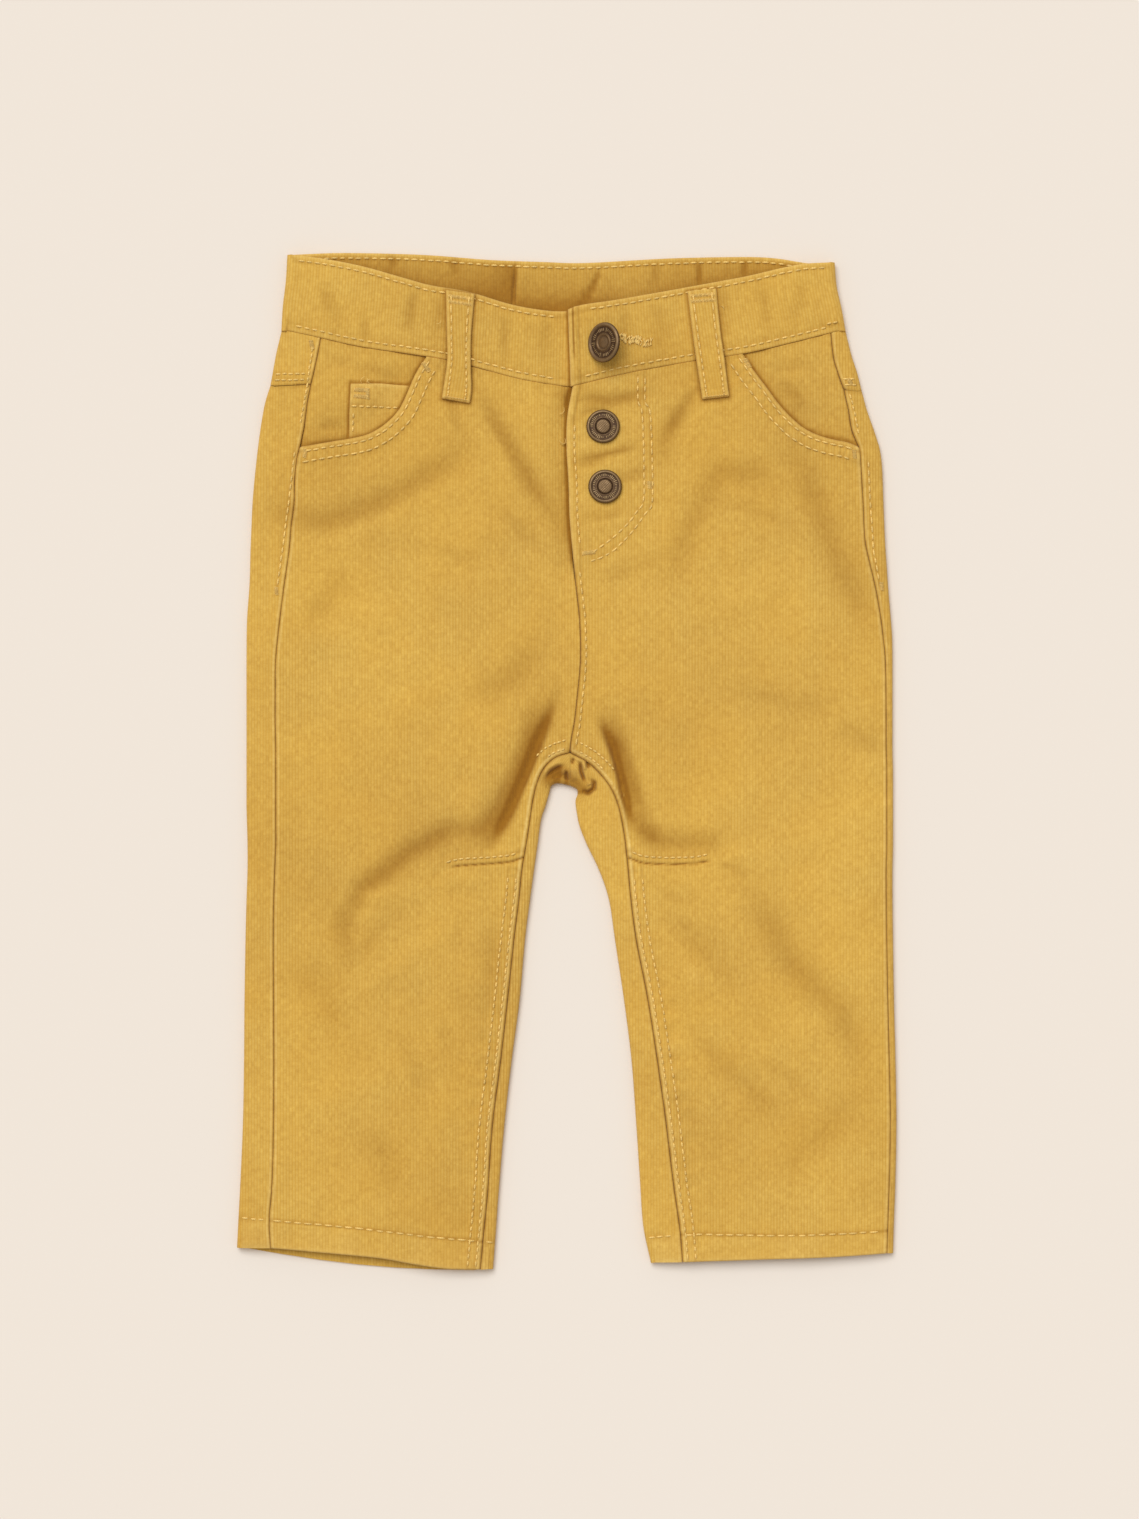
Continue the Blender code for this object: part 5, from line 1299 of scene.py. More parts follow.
# Where the band turns round each side, and its lapped end, each from the lower edge to the upper.
BAND_EDGE_LEFT = (-114.2, -113.6, -112.4, -111.8)
BAND_EDGE_RIGHT = (111.8, 110.2, 108.2, 107.4)
BAND_LAP_END = (1.6, 1.3, 0.9, 0.6)
BAND_TOP_LINE = {name: curve(BAND_TOP[name]) for name in BAND_TOP}
# The rows of the strip's grid from its lower edge to its upper.
BAND_SHARES = (
    0, 0.01, 0.03, 0.06, 0.1, 0.16, 0.24, 0.33, 0.43, 0.53, 0.63, 0.73, 0.82, 0.88, 0.92, 0.95, 0.975,
    0.99, 1,
)
BAND_TURN_CELLS = 12
BAND_ROWS = (2.2, 2.6)
BAND_LAP_ROW = 4.2
BAND_SEAM = WAIST_LINE + [0.0, SEAM_GAP / 2]
BAND_BACK_SEAM = np.array([(-116, BAND_BACK_FOOT_Y), (114, BAND_BACK_FOOT_Y)])
BAND_LAP_LINE = np.array([(1.6, 149.6), (1.3, 160), (0.9, 170.4), (0.6, 181)])
BUTTONHOLE = ((20.4, 169.2), (33.6, 166.6))
BAND_FOLDS = [Fold(*row) for row in (
    # Soft upright dents of the front, and two ridges between them.
    (-0.45, 2.4, ((-60.6, 189), (-62.6, 178), (-63, 170))),
    (0.35, 2.4, ((-66, 189), (-67, 174))),
    (-0.3, 2, ((-81, 178), (-80, 168))),
    (-0.3, 3.2, ((-98, 192), (-94, 180), (-88, 174))),
    (0.3, 3, ((-90, 193), (-85, 182))),
    (-0.35, 2, ((-50, 187), (-50.4, 176), (-53, 169))),
    (-0.3, 2.2, ((-24, 180), (-25, 166), (-24, 158))),
    (0.3, 2.6, ((-17, 178), (-17.5, 160))),
    (-0.25, 2.4, ((-8, 176), (-9, 158))),
    (-0.25, 2.2, ((22, 182), (23.4, 174), (22, 158))),
    (0.2, 2.6, ((29, 182), (30, 170))),
    (-0.2, 2.4, ((36, 184), (37.6, 172), (36, 162))),
    (-0.28, 2, ((62, 191), (63.6, 183), (63, 168))),
    (-0.25, 2.4, ((76, 192), (79.6, 182), (80, 172))),
    (0.22, 2.6, ((84, 193), (87, 180))),
    (-0.22, 2.6, ((92, 194), (93.6, 184), (90, 173))),
)]
BAND_BACK_FOLDS = [Fold(*row) for row in (
    # Creases of the inside at the back.
    (-1.2, 0.8, ((-20, 200), (-20.8, 192), (-21.6, 180))),
    (0.6, 1.8, ((-17.4, 199), (-18, 184))),
    (-0.9, 1.3, ((14, 198), (10.6, 190), (5, 183))),
    (0.4, 2.4, ((17, 198), (14, 188))),
    (-0.7, 1.2, ((53.4, 200), (53, 190))),
    (0.3, 2, ((57, 200), (57, 190))),
    (-0.5, 1.4, ((71.4, 201), (71, 194))),
    (-0.35, 2, ((36, 200), (35, 190))),
    (-0.4, 2.4, ((-46, 202), (-44, 194))),
    (0.35, 2.2, ((-52, 202), (-50, 194))),
    (-0.4, 2.2, ((-72, 203), (-68, 198))),
)]


def band_form(plan, side):
    """The front of the band: rolled at its side fold, and thinner or fuller where its ends lap."""
    x = plan[..., 0]
    inside = np.minimum(x - BAND_FOLD_X[0], BAND_FOLD_X[1] - x) - BAND_RADIUS
    height = 2 * BAND_RADIUS + BAND_PROUD * smooth_step(inside / 14)
    if side < 0:
        return height - BAND_LAP_DROP * smooth_step((x + 13) / 13)
    return height + BAND_LAP_RISE * smooth_step((46 - x) / 16)


def band_detail(plan, top_line, foot_line, folds, seed, lap_line=None):
    """What the sewing and the creases add to the band's face, its pale marks and its painted shade.
    The cloth is puffed between the two rows of stitches."""
    to_top, along_top = near_line(plan, top_line)
    to_foot, along_foot = near_line(plan, foot_line)
    middle = smooth_step((to_top - BAND_ROWS[0]) / 4) * smooth_step((to_foot - BAND_ROWS[1]) / 4)
    sewn = relief(plan, folds) * (0.3 + 0.7 * middle) + 0.12 * unevenness(plan, 10, 34, seed)
    sewn += 0.25 * middle
    sewn += 0.17 * pucker(along_top, 6, seed + 1) * bell(to_top - 3, 3)
    sewn += 0.17 * pucker(along_foot, 6, seed + 2) * bell(to_foot - 3, 3)
    sunk = bell(to_top - BAND_ROWS[0], ROW_WIDTH) + bell(to_foot - BAND_ROWS[1], ROW_WIDTH)
    falls = rounded(to_top, 1) + seam_fall(to_foot, 0.25)
    quiet = np.minimum(to_top, to_foot)
    wear_and_highlight = 0.7 * bell(to_top, 1.3) + 0.4 * bell(to_foot - 0.9, 0.7)
    # Painted shade in the creases, at the foot seam, beside the tucked lap end and in the stitch rows.
    painted_shade = np.clip(-relief(plan, folds) / 1.1, 0, 0.8) + 0.15 * bell(to_foot, 0.6)
    if lap_line is not None:
        to_lap, along_lap = near_line(plan, lap_line)
        sewn += 0.3 * band_between(to_lap, 0.3, 3.4, 1)
        sewn += 0.12 * pucker(along_lap, 6, seed + 3) * bell(to_lap - 4, 3)
        sunk = sunk + bell(to_lap - BAND_LAP_ROW, ROW_WIDTH)
        tucked = bell(to_lap - 1.9, 0.36) * smooth_step((plan[..., 1] - 158) / 6)
        falls += rounded(to_lap, 1.1) + 0.4 * tucked
        painted_shade += 0.95 * tucked
        quiet = np.minimum(quiet, to_lap)
        wear_and_highlight += bell(to_lap, 1.4)
    added = sewn - ROW_DEPTH * sunk - falls
    return added, smooth_step(quiet / 0.9), np.clip(wear_and_highlight, 0, 1), np.clip(painted_shade + 0.3 * sunk, 0, 1)


def band_front(plan, name):
    """The face of the underlap's front or of the lapped front, where its ribs show, its pale marks and its
    painted shade.
    """
    side, lap = (1, BAND_LAP_LINE) if name == "lap" else (-1, None)
    added, quiet, wear_and_highlight, painted_shade = band_detail(plan, BAND_TOP_LINE[name], BAND_SEAM, BAND_FOLDS, 51, lap)
    # Painted shade beside the belt loops, a painted shadow along the lapped end on the underlap, and
    # painted shade in the buttonhole.
    painted_shade += loop_shade(plan, "right" if side > 0 else "left")
    if side < 0:
        painted_shade += 1.3 * bell(near_line(plan, BAND_LAP_LINE)[0], 0.9)
    else:
        painted_shade += 0.6 * bell(near_line(plan, BUTTONHOLE)[0], 0.5)
    form = band_form(plan, side)
    step = np.clip(form - front_form(plan, side) - 0.1, 0, 1.3)
    added = added - step * bell(near_line(plan, WAIST_LINE)[0], 2.6)
    return form + added, quiet, wear_and_highlight, np.clip(painted_shade, 0, 1)


def band_back(plan):
    """The inside of the band's back, its pale marks, and the painted shade that darkens it under the
    front's upper edge and beside its crease.
    """
    added, quiet, wear_and_highlight, painted_shade = band_detail(plan, BAND_TOP_LINE["back"], BAND_BACK_SEAM, BAND_BACK_FOLDS, 61)
    below = np.minimum.reduce([near_line(plan, BAND_TOP_LINE[name])[0] for name in ("underlap", "lap")])
    crease = np.array(BAND_BACK_FOLDS[0].path)[::-1]
    x, crease_x = plan[..., 0], read_x(crease, plan[..., 1])
    # Painted shade: darker all over, more so close under the front's upper edge and near the middle, and
    # toward the crease on its left.
    shade = 0.28 + 0.55 * np.exp(-below / 4.5)
    shade += np.where(x < crease_x, 0.75 * np.exp((x - crease_x) / 10), 0)
    shade += 0.8 * bell(x + 5, 15) * np.exp(-below / 4.5) - 0.16 * bell(x - 24, 16)
    painted_shade += shade * smooth_step(near_line(plan, BAND_TOP_LINE["back"])[0] / 3)
    return BAND_CLOTH + added, quiet, wear_and_highlight, np.clip(painted_shade, 0, 1)


def waistband():
    """The strip in four runs: the underlap and left front, the left turn, the back, the right turn
    and the right front with the lapped end."""
    share = np.array(BAND_SHARES)[:, None]
    third = share[:, 0] * 3
    edge_left, edge_right, lap_end = (
        curve_at(np.array(edge), third)[:, None] for edge in (BAND_EDGE_LEFT, BAND_EDGE_RIGHT, BAND_LAP_END)
    )

    def strip(x, top_line, foot):
        low = foot(x) + SEAM_GAP / 2
        return np.stack([x, low + share * (read_y(top_line, x) - low)], axis=-1)

    def run(start, end):
        cells = int(round(np.abs(np.mean(end) - np.mean(start)) / CORD_STEP))
        return start + np.linspace(0, 1, cells + 1)[None] * (end - start)

    def waist(x):
        return read_y(WAIST_LINE, x)

    under = strip(run(BAND_UNDERLAP_X + 0 * edge_left, edge_left + BAND_RADIUS), BAND_TOP_LINE["underlap"],
                  lambda x: waist(x) + 1.2 * smooth_step((x - 2) / 10))
    back = strip(run(edge_left + BAND_RADIUS, edge_right - BAND_RADIUS)[:, 1:-1], BAND_TOP_LINE["back"],
                 lambda x: BAND_BACK_FOOT_Y + 0 * x)
    over = strip(run(edge_right - BAND_RADIUS, lap_end), BAND_TOP_LINE["lap"], waist)
    faces = band_front(under, "underlap"), band_front(over, "lap"), band_back(back)
    down = np.radians(np.linspace(90, -90, BAND_TURN_CELLS + 1))[1:]

    def turn(corner, toward, turns, radius):
        plan = np.repeat(corner[:, None], len(turns), axis=1).copy()
        plan[..., 0] -= toward * radius * np.cos(turns)
        return level(plan, BAND_RADIUS + radius * np.sin(turns))

    turned = [np.repeat(edge, BAND_TURN_CELLS, axis=1) for edge in (under[:, -1:], over[:, :1])]
    flat_run = np.concatenate([under, turned[0], back, turned[1], over], axis=1)
    layers = []
    for depth in (0, BAND_CLOTH):
        radius = BAND_RADIUS - depth
        parts = [
            level(under, band_form(under, -1) - depth), turn(under[:, -1], 1, down, radius),
            level(back, depth), turn(over[:, 0], -1, down[::-1], radius),
            level(over, band_form(over, 1) - depth),
        ]
        layers.append(np.concatenate(parts, axis=1))
    outer, inner = layers
    across = BAND_UNDERLAP_X - run_along(outer[len(share) // 2])
    starts = np.cumsum([0, under.shape[1], BAND_TURN_CELLS, back.shape[1], BAND_TURN_CELLS])
    ends = np.append(starts[1:], outer.shape[1])
    left, right, behind = (slice(starts[k], ends[k]) for k in (0, 4, 2))
    for layer, part, face in zip((outer, outer, inner), (left, right, behind), faces):
        layer[:, part, 2] = face[0] + ribs(across[part], face[1])
    outer[:, behind, 2] += rounded(near_line(back, BAND_TOP_LINE["back"])[0], 1)
    wear = np.zeros(outer.shape)
    for part, face in zip((left, right, behind), faces):
        wear[:, part, 0], wear[:, part, 1] = face[2:]
    wall_piece("waistband_strip", "waistband", outer, inner, across, wear,
               along=flat_run[..., 1])


waistband()


# The belt loops.
# Two folded strips of cord with a row of stitches down each side. Their ends are turned under and
# tacked to the waistband's upper edge and to the front below it, and they bow up a little between.

LOOP_CLOTH = 1.7
LOOP_ARCH = 0.8
LOOP_STEP_RUN = 8.0
LOOP_ROW = 2.0
RIB_START = 0.3


def loop_grid(half, cells, rows):
    """Plan points of a belt loop, and how far each is across it and along it."""
    sides = curve_at(np.array(LOOPS[half]).reshape(-1, 2, 2), np.linspace(0, 4, rows + 1))
    plan = between(sides[:, 0], sides[:, 1], cells)
    width = np.linalg.norm(sides[:, 1] - sides[:, 0], axis=1)[:, None] * np.linspace(0, 1, cells + 1)
    run = run_along(sides.mean(axis=1))
    return plan, width, np.broadcast_to(run[:, None], width.shape)


def loop_seat(plan, half):
    """The height a loop lies at: over the waistband, and down to the front panel below it."""
    side = SIDE[half]
    panel, band = front_form(plan, side), band_form(plan, side)
    on_band = smooth_step((plan[..., 1] - read_y(WAIST_LINE, plan[..., 0])) / LOOP_STEP_RUN + 1)
    low = (panel + np.maximum(band - panel, 0) * on_band + SEAM_GAP).max(axis=1, keepdims=True)
    arch = LOOP_ARCH * np.sin(np.linspace(0, np.pi, len(plan)))[:, None]
    return np.broadcast_to(low + arch, plan.shape[:2])


def loop_layers(half):
    """A belt loop with raised edges, sunk rows and turned ends, as an outer and an inner layer, with
    how far across and along it each point is, its pale edges from rubbing and painted highlight, and
    painted shade in its rows."""
    plan, width, run = loop_grid(half, 36, 46)
    seat = loop_seat(plan, half)
    to_edge = np.minimum(width, width[:, -1:] - width)
    to_end = np.minimum(run, run[-1:] - run)
    sunk = bell(to_edge - LOOP_ROW, 0.5)
    sewn = 0.25 * smooth_step(to_edge / 3) + 0.12 * pucker(run, 5, 71) * bell(to_edge, 2.5)
    sewn += 0.3 * (1 - smooth_step((to_end - 2.4) / 0.8)) - ROW_DEPTH * sunk
    falls = rounded(to_edge, 0.7) + rounded(to_end, 0.7)
    height = seat + LOOP_CLOTH - 0.3 + sewn - falls + ribs(width + RIB_START, smooth_step(to_edge / 0.9))
    # Pale edges and ends from wear and painted highlight, and painted shade in the sunk rows.
    wear_and_highlight = 0.8 * bell(to_edge - 0.6, 0.7) + 0.6 * bell(to_end, 1)
    wear = np.stack([np.clip(wear_and_highlight, 0, 1), 0.35 * sunk, 0 * width], axis=-1)
    return level(plan, height), level(plan, seat), width, run, wear


def belt_loop(half):
    """A belt loop in place of its CAD node."""
    outer, inner, width, _, wear = loop_layers(half)
    wall_piece(f"belt_loop_strip_{half}", f"belt_loop_{half}", outer, inner, width + RIB_START, wear)


for half in SIDE:
    belt_loop(half)


# The topstitching.
# Rows of paler cotton thread in the sunk lines of every hem and seam. Each stitch is a short fat
# strand that dips into the cloth at both ends. Bartacks are packed with thinner strands.

STITCH_PITCH = 3.2
STITCH_SHARE = 0.74
THREAD_RADIUS = 0.41
STRAND_SIDES = 5
THREAD_TONE = (0.87, 0.60, 0.185, 1.0)
THREAD_DEEP = (0.60, 0.34, 0.06, 1.0)


def thread_paint():
    """Twisted cotton thread: dark twist lines round each strand, a tone of its own for each one."""
    made, tree = material("cotton_thread")
    parts = attribute_parts(tree, "strand")
    turn = math_node(tree, math_node(tree, parts[0], 9), parts[1], "ADD")
    twist = node(tree, "ShaderNodeMapRange", {
        "Value": math_node(tree, turn, operation="SINE"), "From Min": -1, "From Max": 0.4, "To Min": 0.35,
    }).outputs[0]
    tone = mixed(tree, twist, THREAD_DEEP, THREAD_TONE)
    own = node(tree, "ShaderNodeCombineXYZ", {axis: parts[2] for axis in range(3)}).outputs[0]
    surface(tree, {
        "Base Color": mixed(tree, 1, tone, own, "MULTIPLY"), "Roughness": 0.7,
    })
    return made


THREAD = thread_paint()


def at_length(line, lengths):
    """The points of a line at some lengths along it."""
    run = run_along(line)
    return np.stack([np.interp(lengths, run, line[:, axis]) for axis in range(line.shape[1])], axis=-1)


def row(line, seed, start=0.0, end=None, pitch=STITCH_PITCH):
    """The four points of each stitch of a row, from some length along a line to another. Stitches
    vary a little in place and length."""
    line = np.asarray(line, float)
    whole = np.linalg.norm(np.diff(line, axis=0), axis=1).sum()
    draw = np.random.default_rng(seed)
    places = np.arange(start + pitch / 2, (whole if end is None else end) - pitch / 3, pitch)
    reach = pitch * STITCH_SHARE * draw.uniform(0.42, 0.54, len(places))
    middle = places + draw.uniform(-0.12, 0.12, len(places))
    points = at_length(line, middle[:, None] + reach[:, None] * np.array([-0.9, -0.35, 0.35, 0.9]))
    return points + draw.uniform(-0.08, 0.08, (len(places), 1, line.shape[1]))


def bartack(start, end, width, pitch=0.42):
    """A bar of close stitches: strands that lean across the line from start to end."""
    start, end = np.array(start), np.array(end)
    run = (end - start) / np.linalg.norm(end - start)
    across = np.array([-run[1], run[0]]) * width / 2
    count = int(np.linalg.norm(end - start) / pitch) + 1
    middle = start + np.linspace(0, 1, count)[:, None] * (end - start)
    lean = run * pitch * 0.45
    part = np.array([-1.0, -0.4, 0.4, 1.0])[:, None]
    return middle[:, None] + part * (across + lean)


def laid_on(rows, face, proud=0.2):
    """Stitch points lifted onto a face, their ends dipped into the cloth."""
    plan = np.concatenate(rows)
    height = face(plan)
    height = height.mean(axis=1, keepdims=True) * 0.5 + height * 0.5
    return level(plan, height + proud + np.array([-0.2, 0.06, 0.06, -0.2]))


def tube(index):
    """The triangles of a grid of points whose rows close on themselves."""
    return halved(grid_quads(np.concatenate([index, index[:, :1]], axis=1)))


def thread_piece(name, paths, radius, seed=5, flare=(0.7, 1.0, 1.0, 0.7)):
    """Strands joined in one mesh. Rings c + r (cos a side + sin a up) follow each path and close in a
    point at each end."""
    count, rings = paths.shape[:2]
    run = np.gradient(paths, axis=1)
    run /= np.linalg.norm(run, axis=-1, keepdims=True)
    side = np.cross([0, 0, 1], run)
    side /= np.maximum(np.linalg.norm(side, axis=-1, keepdims=True), 1e-6)
    up = np.cross(run, side)
    angle = np.arange(STRAND_SIDES) * 2 * np.pi / STRAND_SIDES
    thick = (radius * np.array(flare))[None, :, None, None]
    ring = side[:, :, None] * np.cos(angle)[:, None] + up[:, :, None] * np.sin(angle)[:, None]
    rings_at = (paths[:, :, None] + thick * ring).reshape(count, -1, 3)
    tips = np.stack([paths[:, 0] - radius * run[:, 0], paths[:, -1] + radius * run[:, -1]], axis=1)
    points = np.concatenate([rings_at, tips], axis=1)
    each = rings * STRAND_SIDES
    index = np.arange(each).reshape(rings, STRAND_SIDES)
    after = np.roll(index, -1, axis=1)
    first = np.stack([np.full(STRAND_SIDES, each), after[0], index[0]], axis=-1)
    last = np.stack([np.full(STRAND_SIDES, each + 1), index[-1], after[-1]], axis=-1)
    faces = np.concatenate([tube(index), first, last])
    faces = (faces + (np.arange(count) * (each + 2))[:, None, None]).reshape(-1, 3)
    length = run_along(paths, 1)
    tone = np.random.default_rng(seed).uniform(0.86, 1.08, (count, 1))
    strand = np.zeros((count, each + 2, 3))
    strand[:, :each, 0] = np.repeat(length, STRAND_SIDES, axis=1)
    strand[:, :each, 1] = np.tile(angle, rings)
    strand[:, -1, 0] = length[:, -1]
    strand[..., 2] = tone
    new_piece(name, points.reshape(-1, 3), faces, THREAD, strand=strand)


# Small stitches in the ridge beside the side seam, above the pocket corner.
SEAM_ROW = {
    "left": ((-101.4, 165.6), (-102.6, 158), (-103.6, 150), (-105, 142), (-106.6, 134)),
    "right": ((113.2, 147), (114.2, 143.4), (115.6, 137), (116.8, 131)),
}
# The bars of close stitches on each panel: start, end and width.
BARTACKS = {
    "front_panel_left": (((-57, 159.2), (-55, 155.6), 2), ((-104.2, 124.6), (-104.8, 121.4), 1.8)),
    "front_panel_right": (
        ((6.4, 82.9), (11.4, 83.6), 1.8), ((33.2, 109), (33.2, 111.6), 2.4),
        ((71.2, 160.6), (73, 157.4), 2), ((115, 124.2), (115.2, 121), 1.8),
    ),
    "back_panel_left": (((-116, 69.4), (-115.8, 66.6), 1.6), ((-102.2, 168), (-101.4, 164.8), 1.8)),
    "back_panel_right": (((112.8, 153), (113.8, 150.4), 1.8), ((125.8, 71.4), (126.2, 68.4), 1.6)),
}
# An inseam's rows end below the dart and start again by the crotch, on the side of a point inside.
LEG_ROW_TOP_Y = -44.0
CROTCH_ROW_Y = {"left": 0.8, "right": -4.6}
FRONT_INSIDE = {"left": np.array([-70, 40]), "right": np.array([80, 40])}


def part_of(line, axis, low, high):
    """The part of a line whose x or y, by its number, is between two values."""
    return line[(line[:, axis] > low) & (line[:, axis] < high)]


def front_rows(half):
    """The rows on one front: pocket mouth, inseam, hem and dart, and on the right front the fly."""
    side = SIDE[half]
    rows = []
    for first, gap in enumerate(MOUTH_ROWS):
        line = moved(MOUTH_LINE[half], np.array([side * 50.0, 60.0]), gap)[0]
        low_enough = line[:, 1] < read_y(WAIST_LINE, line[:, 0]) - 1
        inside = side * line[:, 0] < side * read_x(SIDE_SEAM[half], line[:, 1]) - 1
        rows.append(row(line[low_enough & inside], 100 + first))
    for first, gap in enumerate(INSEAM_ROWS):
        line = moved(INSEAM[half], FRONT_INSIDE[half], gap)[0]
        rows.append(row(part_of(line, 1, -np.inf, LEG_ROW_TOP_Y), 110 + first, start=0.8, pitch=2.8))
        by_crotch = (line[:, 1] > CROTCH_ROW_Y[half]) & (side * line[:, 0] > side * CROTCH[0] + 1.5)
        rows.append(row(line[by_crotch], 112 + first, pitch=2))
    hem = curve(HEM_STITCH[half], steps=40)
    seam_x, inseam_x = read_x(SIDE_SEAM[half], hem[:, 1]), read_x(INSEAM[half], hem[:, 1])
    low_x, high_x = np.minimum(seam_x, inseam_x) + 0.8, np.maximum(seam_x, inseam_x) - 0.8
    rows.append(row(part_of(hem, 0, low_x, high_x), 114, pitch=4.1))
    rows.append(row(moved(DART_LINE[half], np.array([side * 30.0, 60.0]), 2.6)[0], 115, pitch=2.6))
    if half == "right":
        for gap, low, high, seed in ((RISE_ROW, 6, 81, 120), (FLY_EDGE_ROW, 84, 139, 121)):
            rows.append(row(part_of(moved(RISE_LINE, np.array([80.0, 60.0]), gap)[0], 1, low, high), seed))
        rows += [row(FLY_LINE["outer"], 122), row(FLY_LINE["inner"], 123)]
    return rows


def back_rows(half):
    """The rows where a back shows beside its front: the hem, the side seam and the yoke seam."""
    side = SIDE[half]
    hem = curve(HEM_STITCH[half], steps=40)
    x, y = side * hem[:, 0], hem[:, 1]
    side_fold, leg_fold = np.array(SIDE_FOLD[half]), np.array(LEG_FOLD[half])
    outside = x > side * read_x(SIDE_SEAM[half], y) + 0.6
    by_side = outside & (x < side * read_x(side_fold, y) - EDGE_RADIUS + 0.6)
    outside = x < side * read_x(INSEAM[half], y) - 0.6
    by_leg = outside & (x > side * read_x(leg_fold, y) + EDGE_RADIUS - 1.2)
    rows = [row(hem[shown], seed) for shown, seed in ((by_side, 130), (by_leg, 131)) if shown.sum() > 1]
    rows += [row(SIDE_ROW[half], 132), row(SEAM_ROW[half], 133, pitch=2.4)]
    seam_y = YOKE_SEAM[half][0][1]
    for first, gap in enumerate(YOKE_ROWS):
        seam_x, edge_x = read_x(SIDE_SEAM[half], seam_y + gap), read_x(side_fold, seam_y + gap)
        low, high = sorted((seam_x + side * 0.8, edge_x - side * 1.4))
        rows.append(row([(low, seam_y + gap), (high, seam_y + gap)], 134 + first, pitch=2.5))
    return rows


def stitch_panels():
    """The rows and bartacks of the fronts and backs."""
    for half in SIDE:
        def front(plan):
            return front_face(plan, half)[0]

        def back(plan):
            return wrap_face(plan, half)[0]

        thread_piece(f"front_stitching_{half}", laid_on(front_rows(half), front), THREAD_RADIUS)
        thread_piece(f"back_stitching_{half}", laid_on(back_rows(half), back), THREAD_RADIUS)
        for panel, face in (("front_panel", front), ("back_panel", back)):
            bars = [bartack(*bar) for bar in BARTACKS[f"{panel}_{half}"]]
            paths = laid_on(bars, face, 0.24)
            thread_piece(f"{panel}_bartacks_{half}", paths, 0.17)


stitch_panels()


# Rows of the band: the line each follows, a point on its inner side, how far inside it lies, whether
# x or y bounds it, between which values, and its seed.
BAND_STITCHES = {
    "lap": (
        (BAND_TOP_LINE["lap"], (60, 100), BAND_ROWS[0], 0, 8.8, 105.4, 140),
        (WAIST_LINE, (0, 300), BAND_ROWS[1], 0, 5.2, 108, 141),
        (BAND_LAP_LINE, (60, 160), BAND_LAP_ROW, 1, 152, 167, 142),
    ),
    "underlap": (
        (WAIST_LINE, (0, 300), BAND_ROWS[1], 0, -110, -1.2, 144),
        (BAND_TOP_LINE["underlap"], (-60, 100), BAND_ROWS[0], 0, -109, -0.6, 145),
    ),
    "inside": ((BAND_TOP_LINE["back"], (0, 100), BAND_ROWS[0], 0, -108, 104, 146),),
}


def stitch_band():
    """The rows round the waistband: its upper edge, its seam, its lapped end and its inside."""
    for name, lines in BAND_STITCHES.items():
        rows = [
            row(part_of(moved(line, np.array(toward), gap)[0], axis, low, high), seed)
            for line, toward, gap, axis, low, high, seed in lines
        ]
        if name == "lap":
            rows.append(row(((103.8, 174.6), (109.8, 175.9)), 143, pitch=2.4))

        def face(plan):
            return (band_back(plan) if name == "inside" else band_front(plan, name))[0]

        thread_piece(f"band_stitching_{name}", laid_on(rows, face), THREAD_RADIUS)


stitch_band()


def between_cells(grid, rows, columns):
    """A grid's values at fractional rows and columns: the mean of four neighbours by nearness."""
    low_row = np.clip(np.floor(rows).astype(int), 0, grid.shape[0] - 2)
    low_column = np.clip(np.floor(columns).astype(int), 0, grid.shape[1] - 2)
    down, over = (rows - low_row)[..., None], (columns - low_column)[..., None]
    near = grid[low_row, low_column] * (1 - over) + grid[low_row, low_column + 1] * over
    far = grid[low_row + 1, low_column] * (1 - over) + grid[low_row + 1, low_column + 1] * over
    return near * (1 - down) + far * down


def stitch_loops():
    """Two rows down each belt loop, and a bar of close stitches across each end."""
    for half in SIDE:
        outer, _, width, run, _ = loop_layers(half)
        long, wide = run[-1, 0], width.mean(axis=0)[-1]
        rows_each, columns_each = (outer.shape[0] - 1) / long, (outer.shape[1] - 1) / wide
        paths = []
        for first, across in enumerate((LOOP_ROW, wide - LOOP_ROW)):
            flat = row(((across, 0.6), (across, long - 0.6)), 150 + first, pitch=2.7)
            paths.append(between_cells(outer, flat[..., 1] * rows_each, flat[..., 0] * columns_each))
        dip = np.array([-0.02, 0.16, 0.16, -0.02])
        rows = np.concatenate(paths)
        rows[..., 2] += dip
        thread_piece(f"belt_loop_stitching_{half}", rows, THREAD_RADIUS)
        bars = [bartack((1, y), (wide - 1, y), 0.9, 0.5) for y in (1.5, 2.9, long - 2)]
        flat = np.concatenate(bars)
        bar = between_cells(outer, flat[..., 1] * rows_each, flat[..., 0] * columns_each)
        bar[..., 2] += dip + 0.06
        thread_piece(f"belt_loop_bartacks_{half}", bar, 0.19)


stitch_loops()


def stitch_coin_pocket():
    """The coin pocket's hem row, its side row and the double bartack in its corner."""
    rows = [row(COIN_HEM, 160, pitch=2.7)]
    rows.append(row(((-85.2, 139.4), (-85.6, 130.6)), 161, pitch=2.7))
    thread_piece("coin_pocket_stitching", laid_on(rows, lambda plan: coin_face(plan)[0]), THREAD_RADIUS)
    bars = [
        bartack((-84.6, 148.4), (-79.8, 148), 1.8), bartack((-84.8, 145.8), (-79.6, 145.4), 1.8),
        bartack((-79.4, 148.8), (-79.4, 144.6), 1.6),
    ]
    thread_piece("coin_pocket_bartack", laid_on(bars, lambda plan: coin_face(plan)[0], 0.22), 0.17)


stitch_coin_pocket()


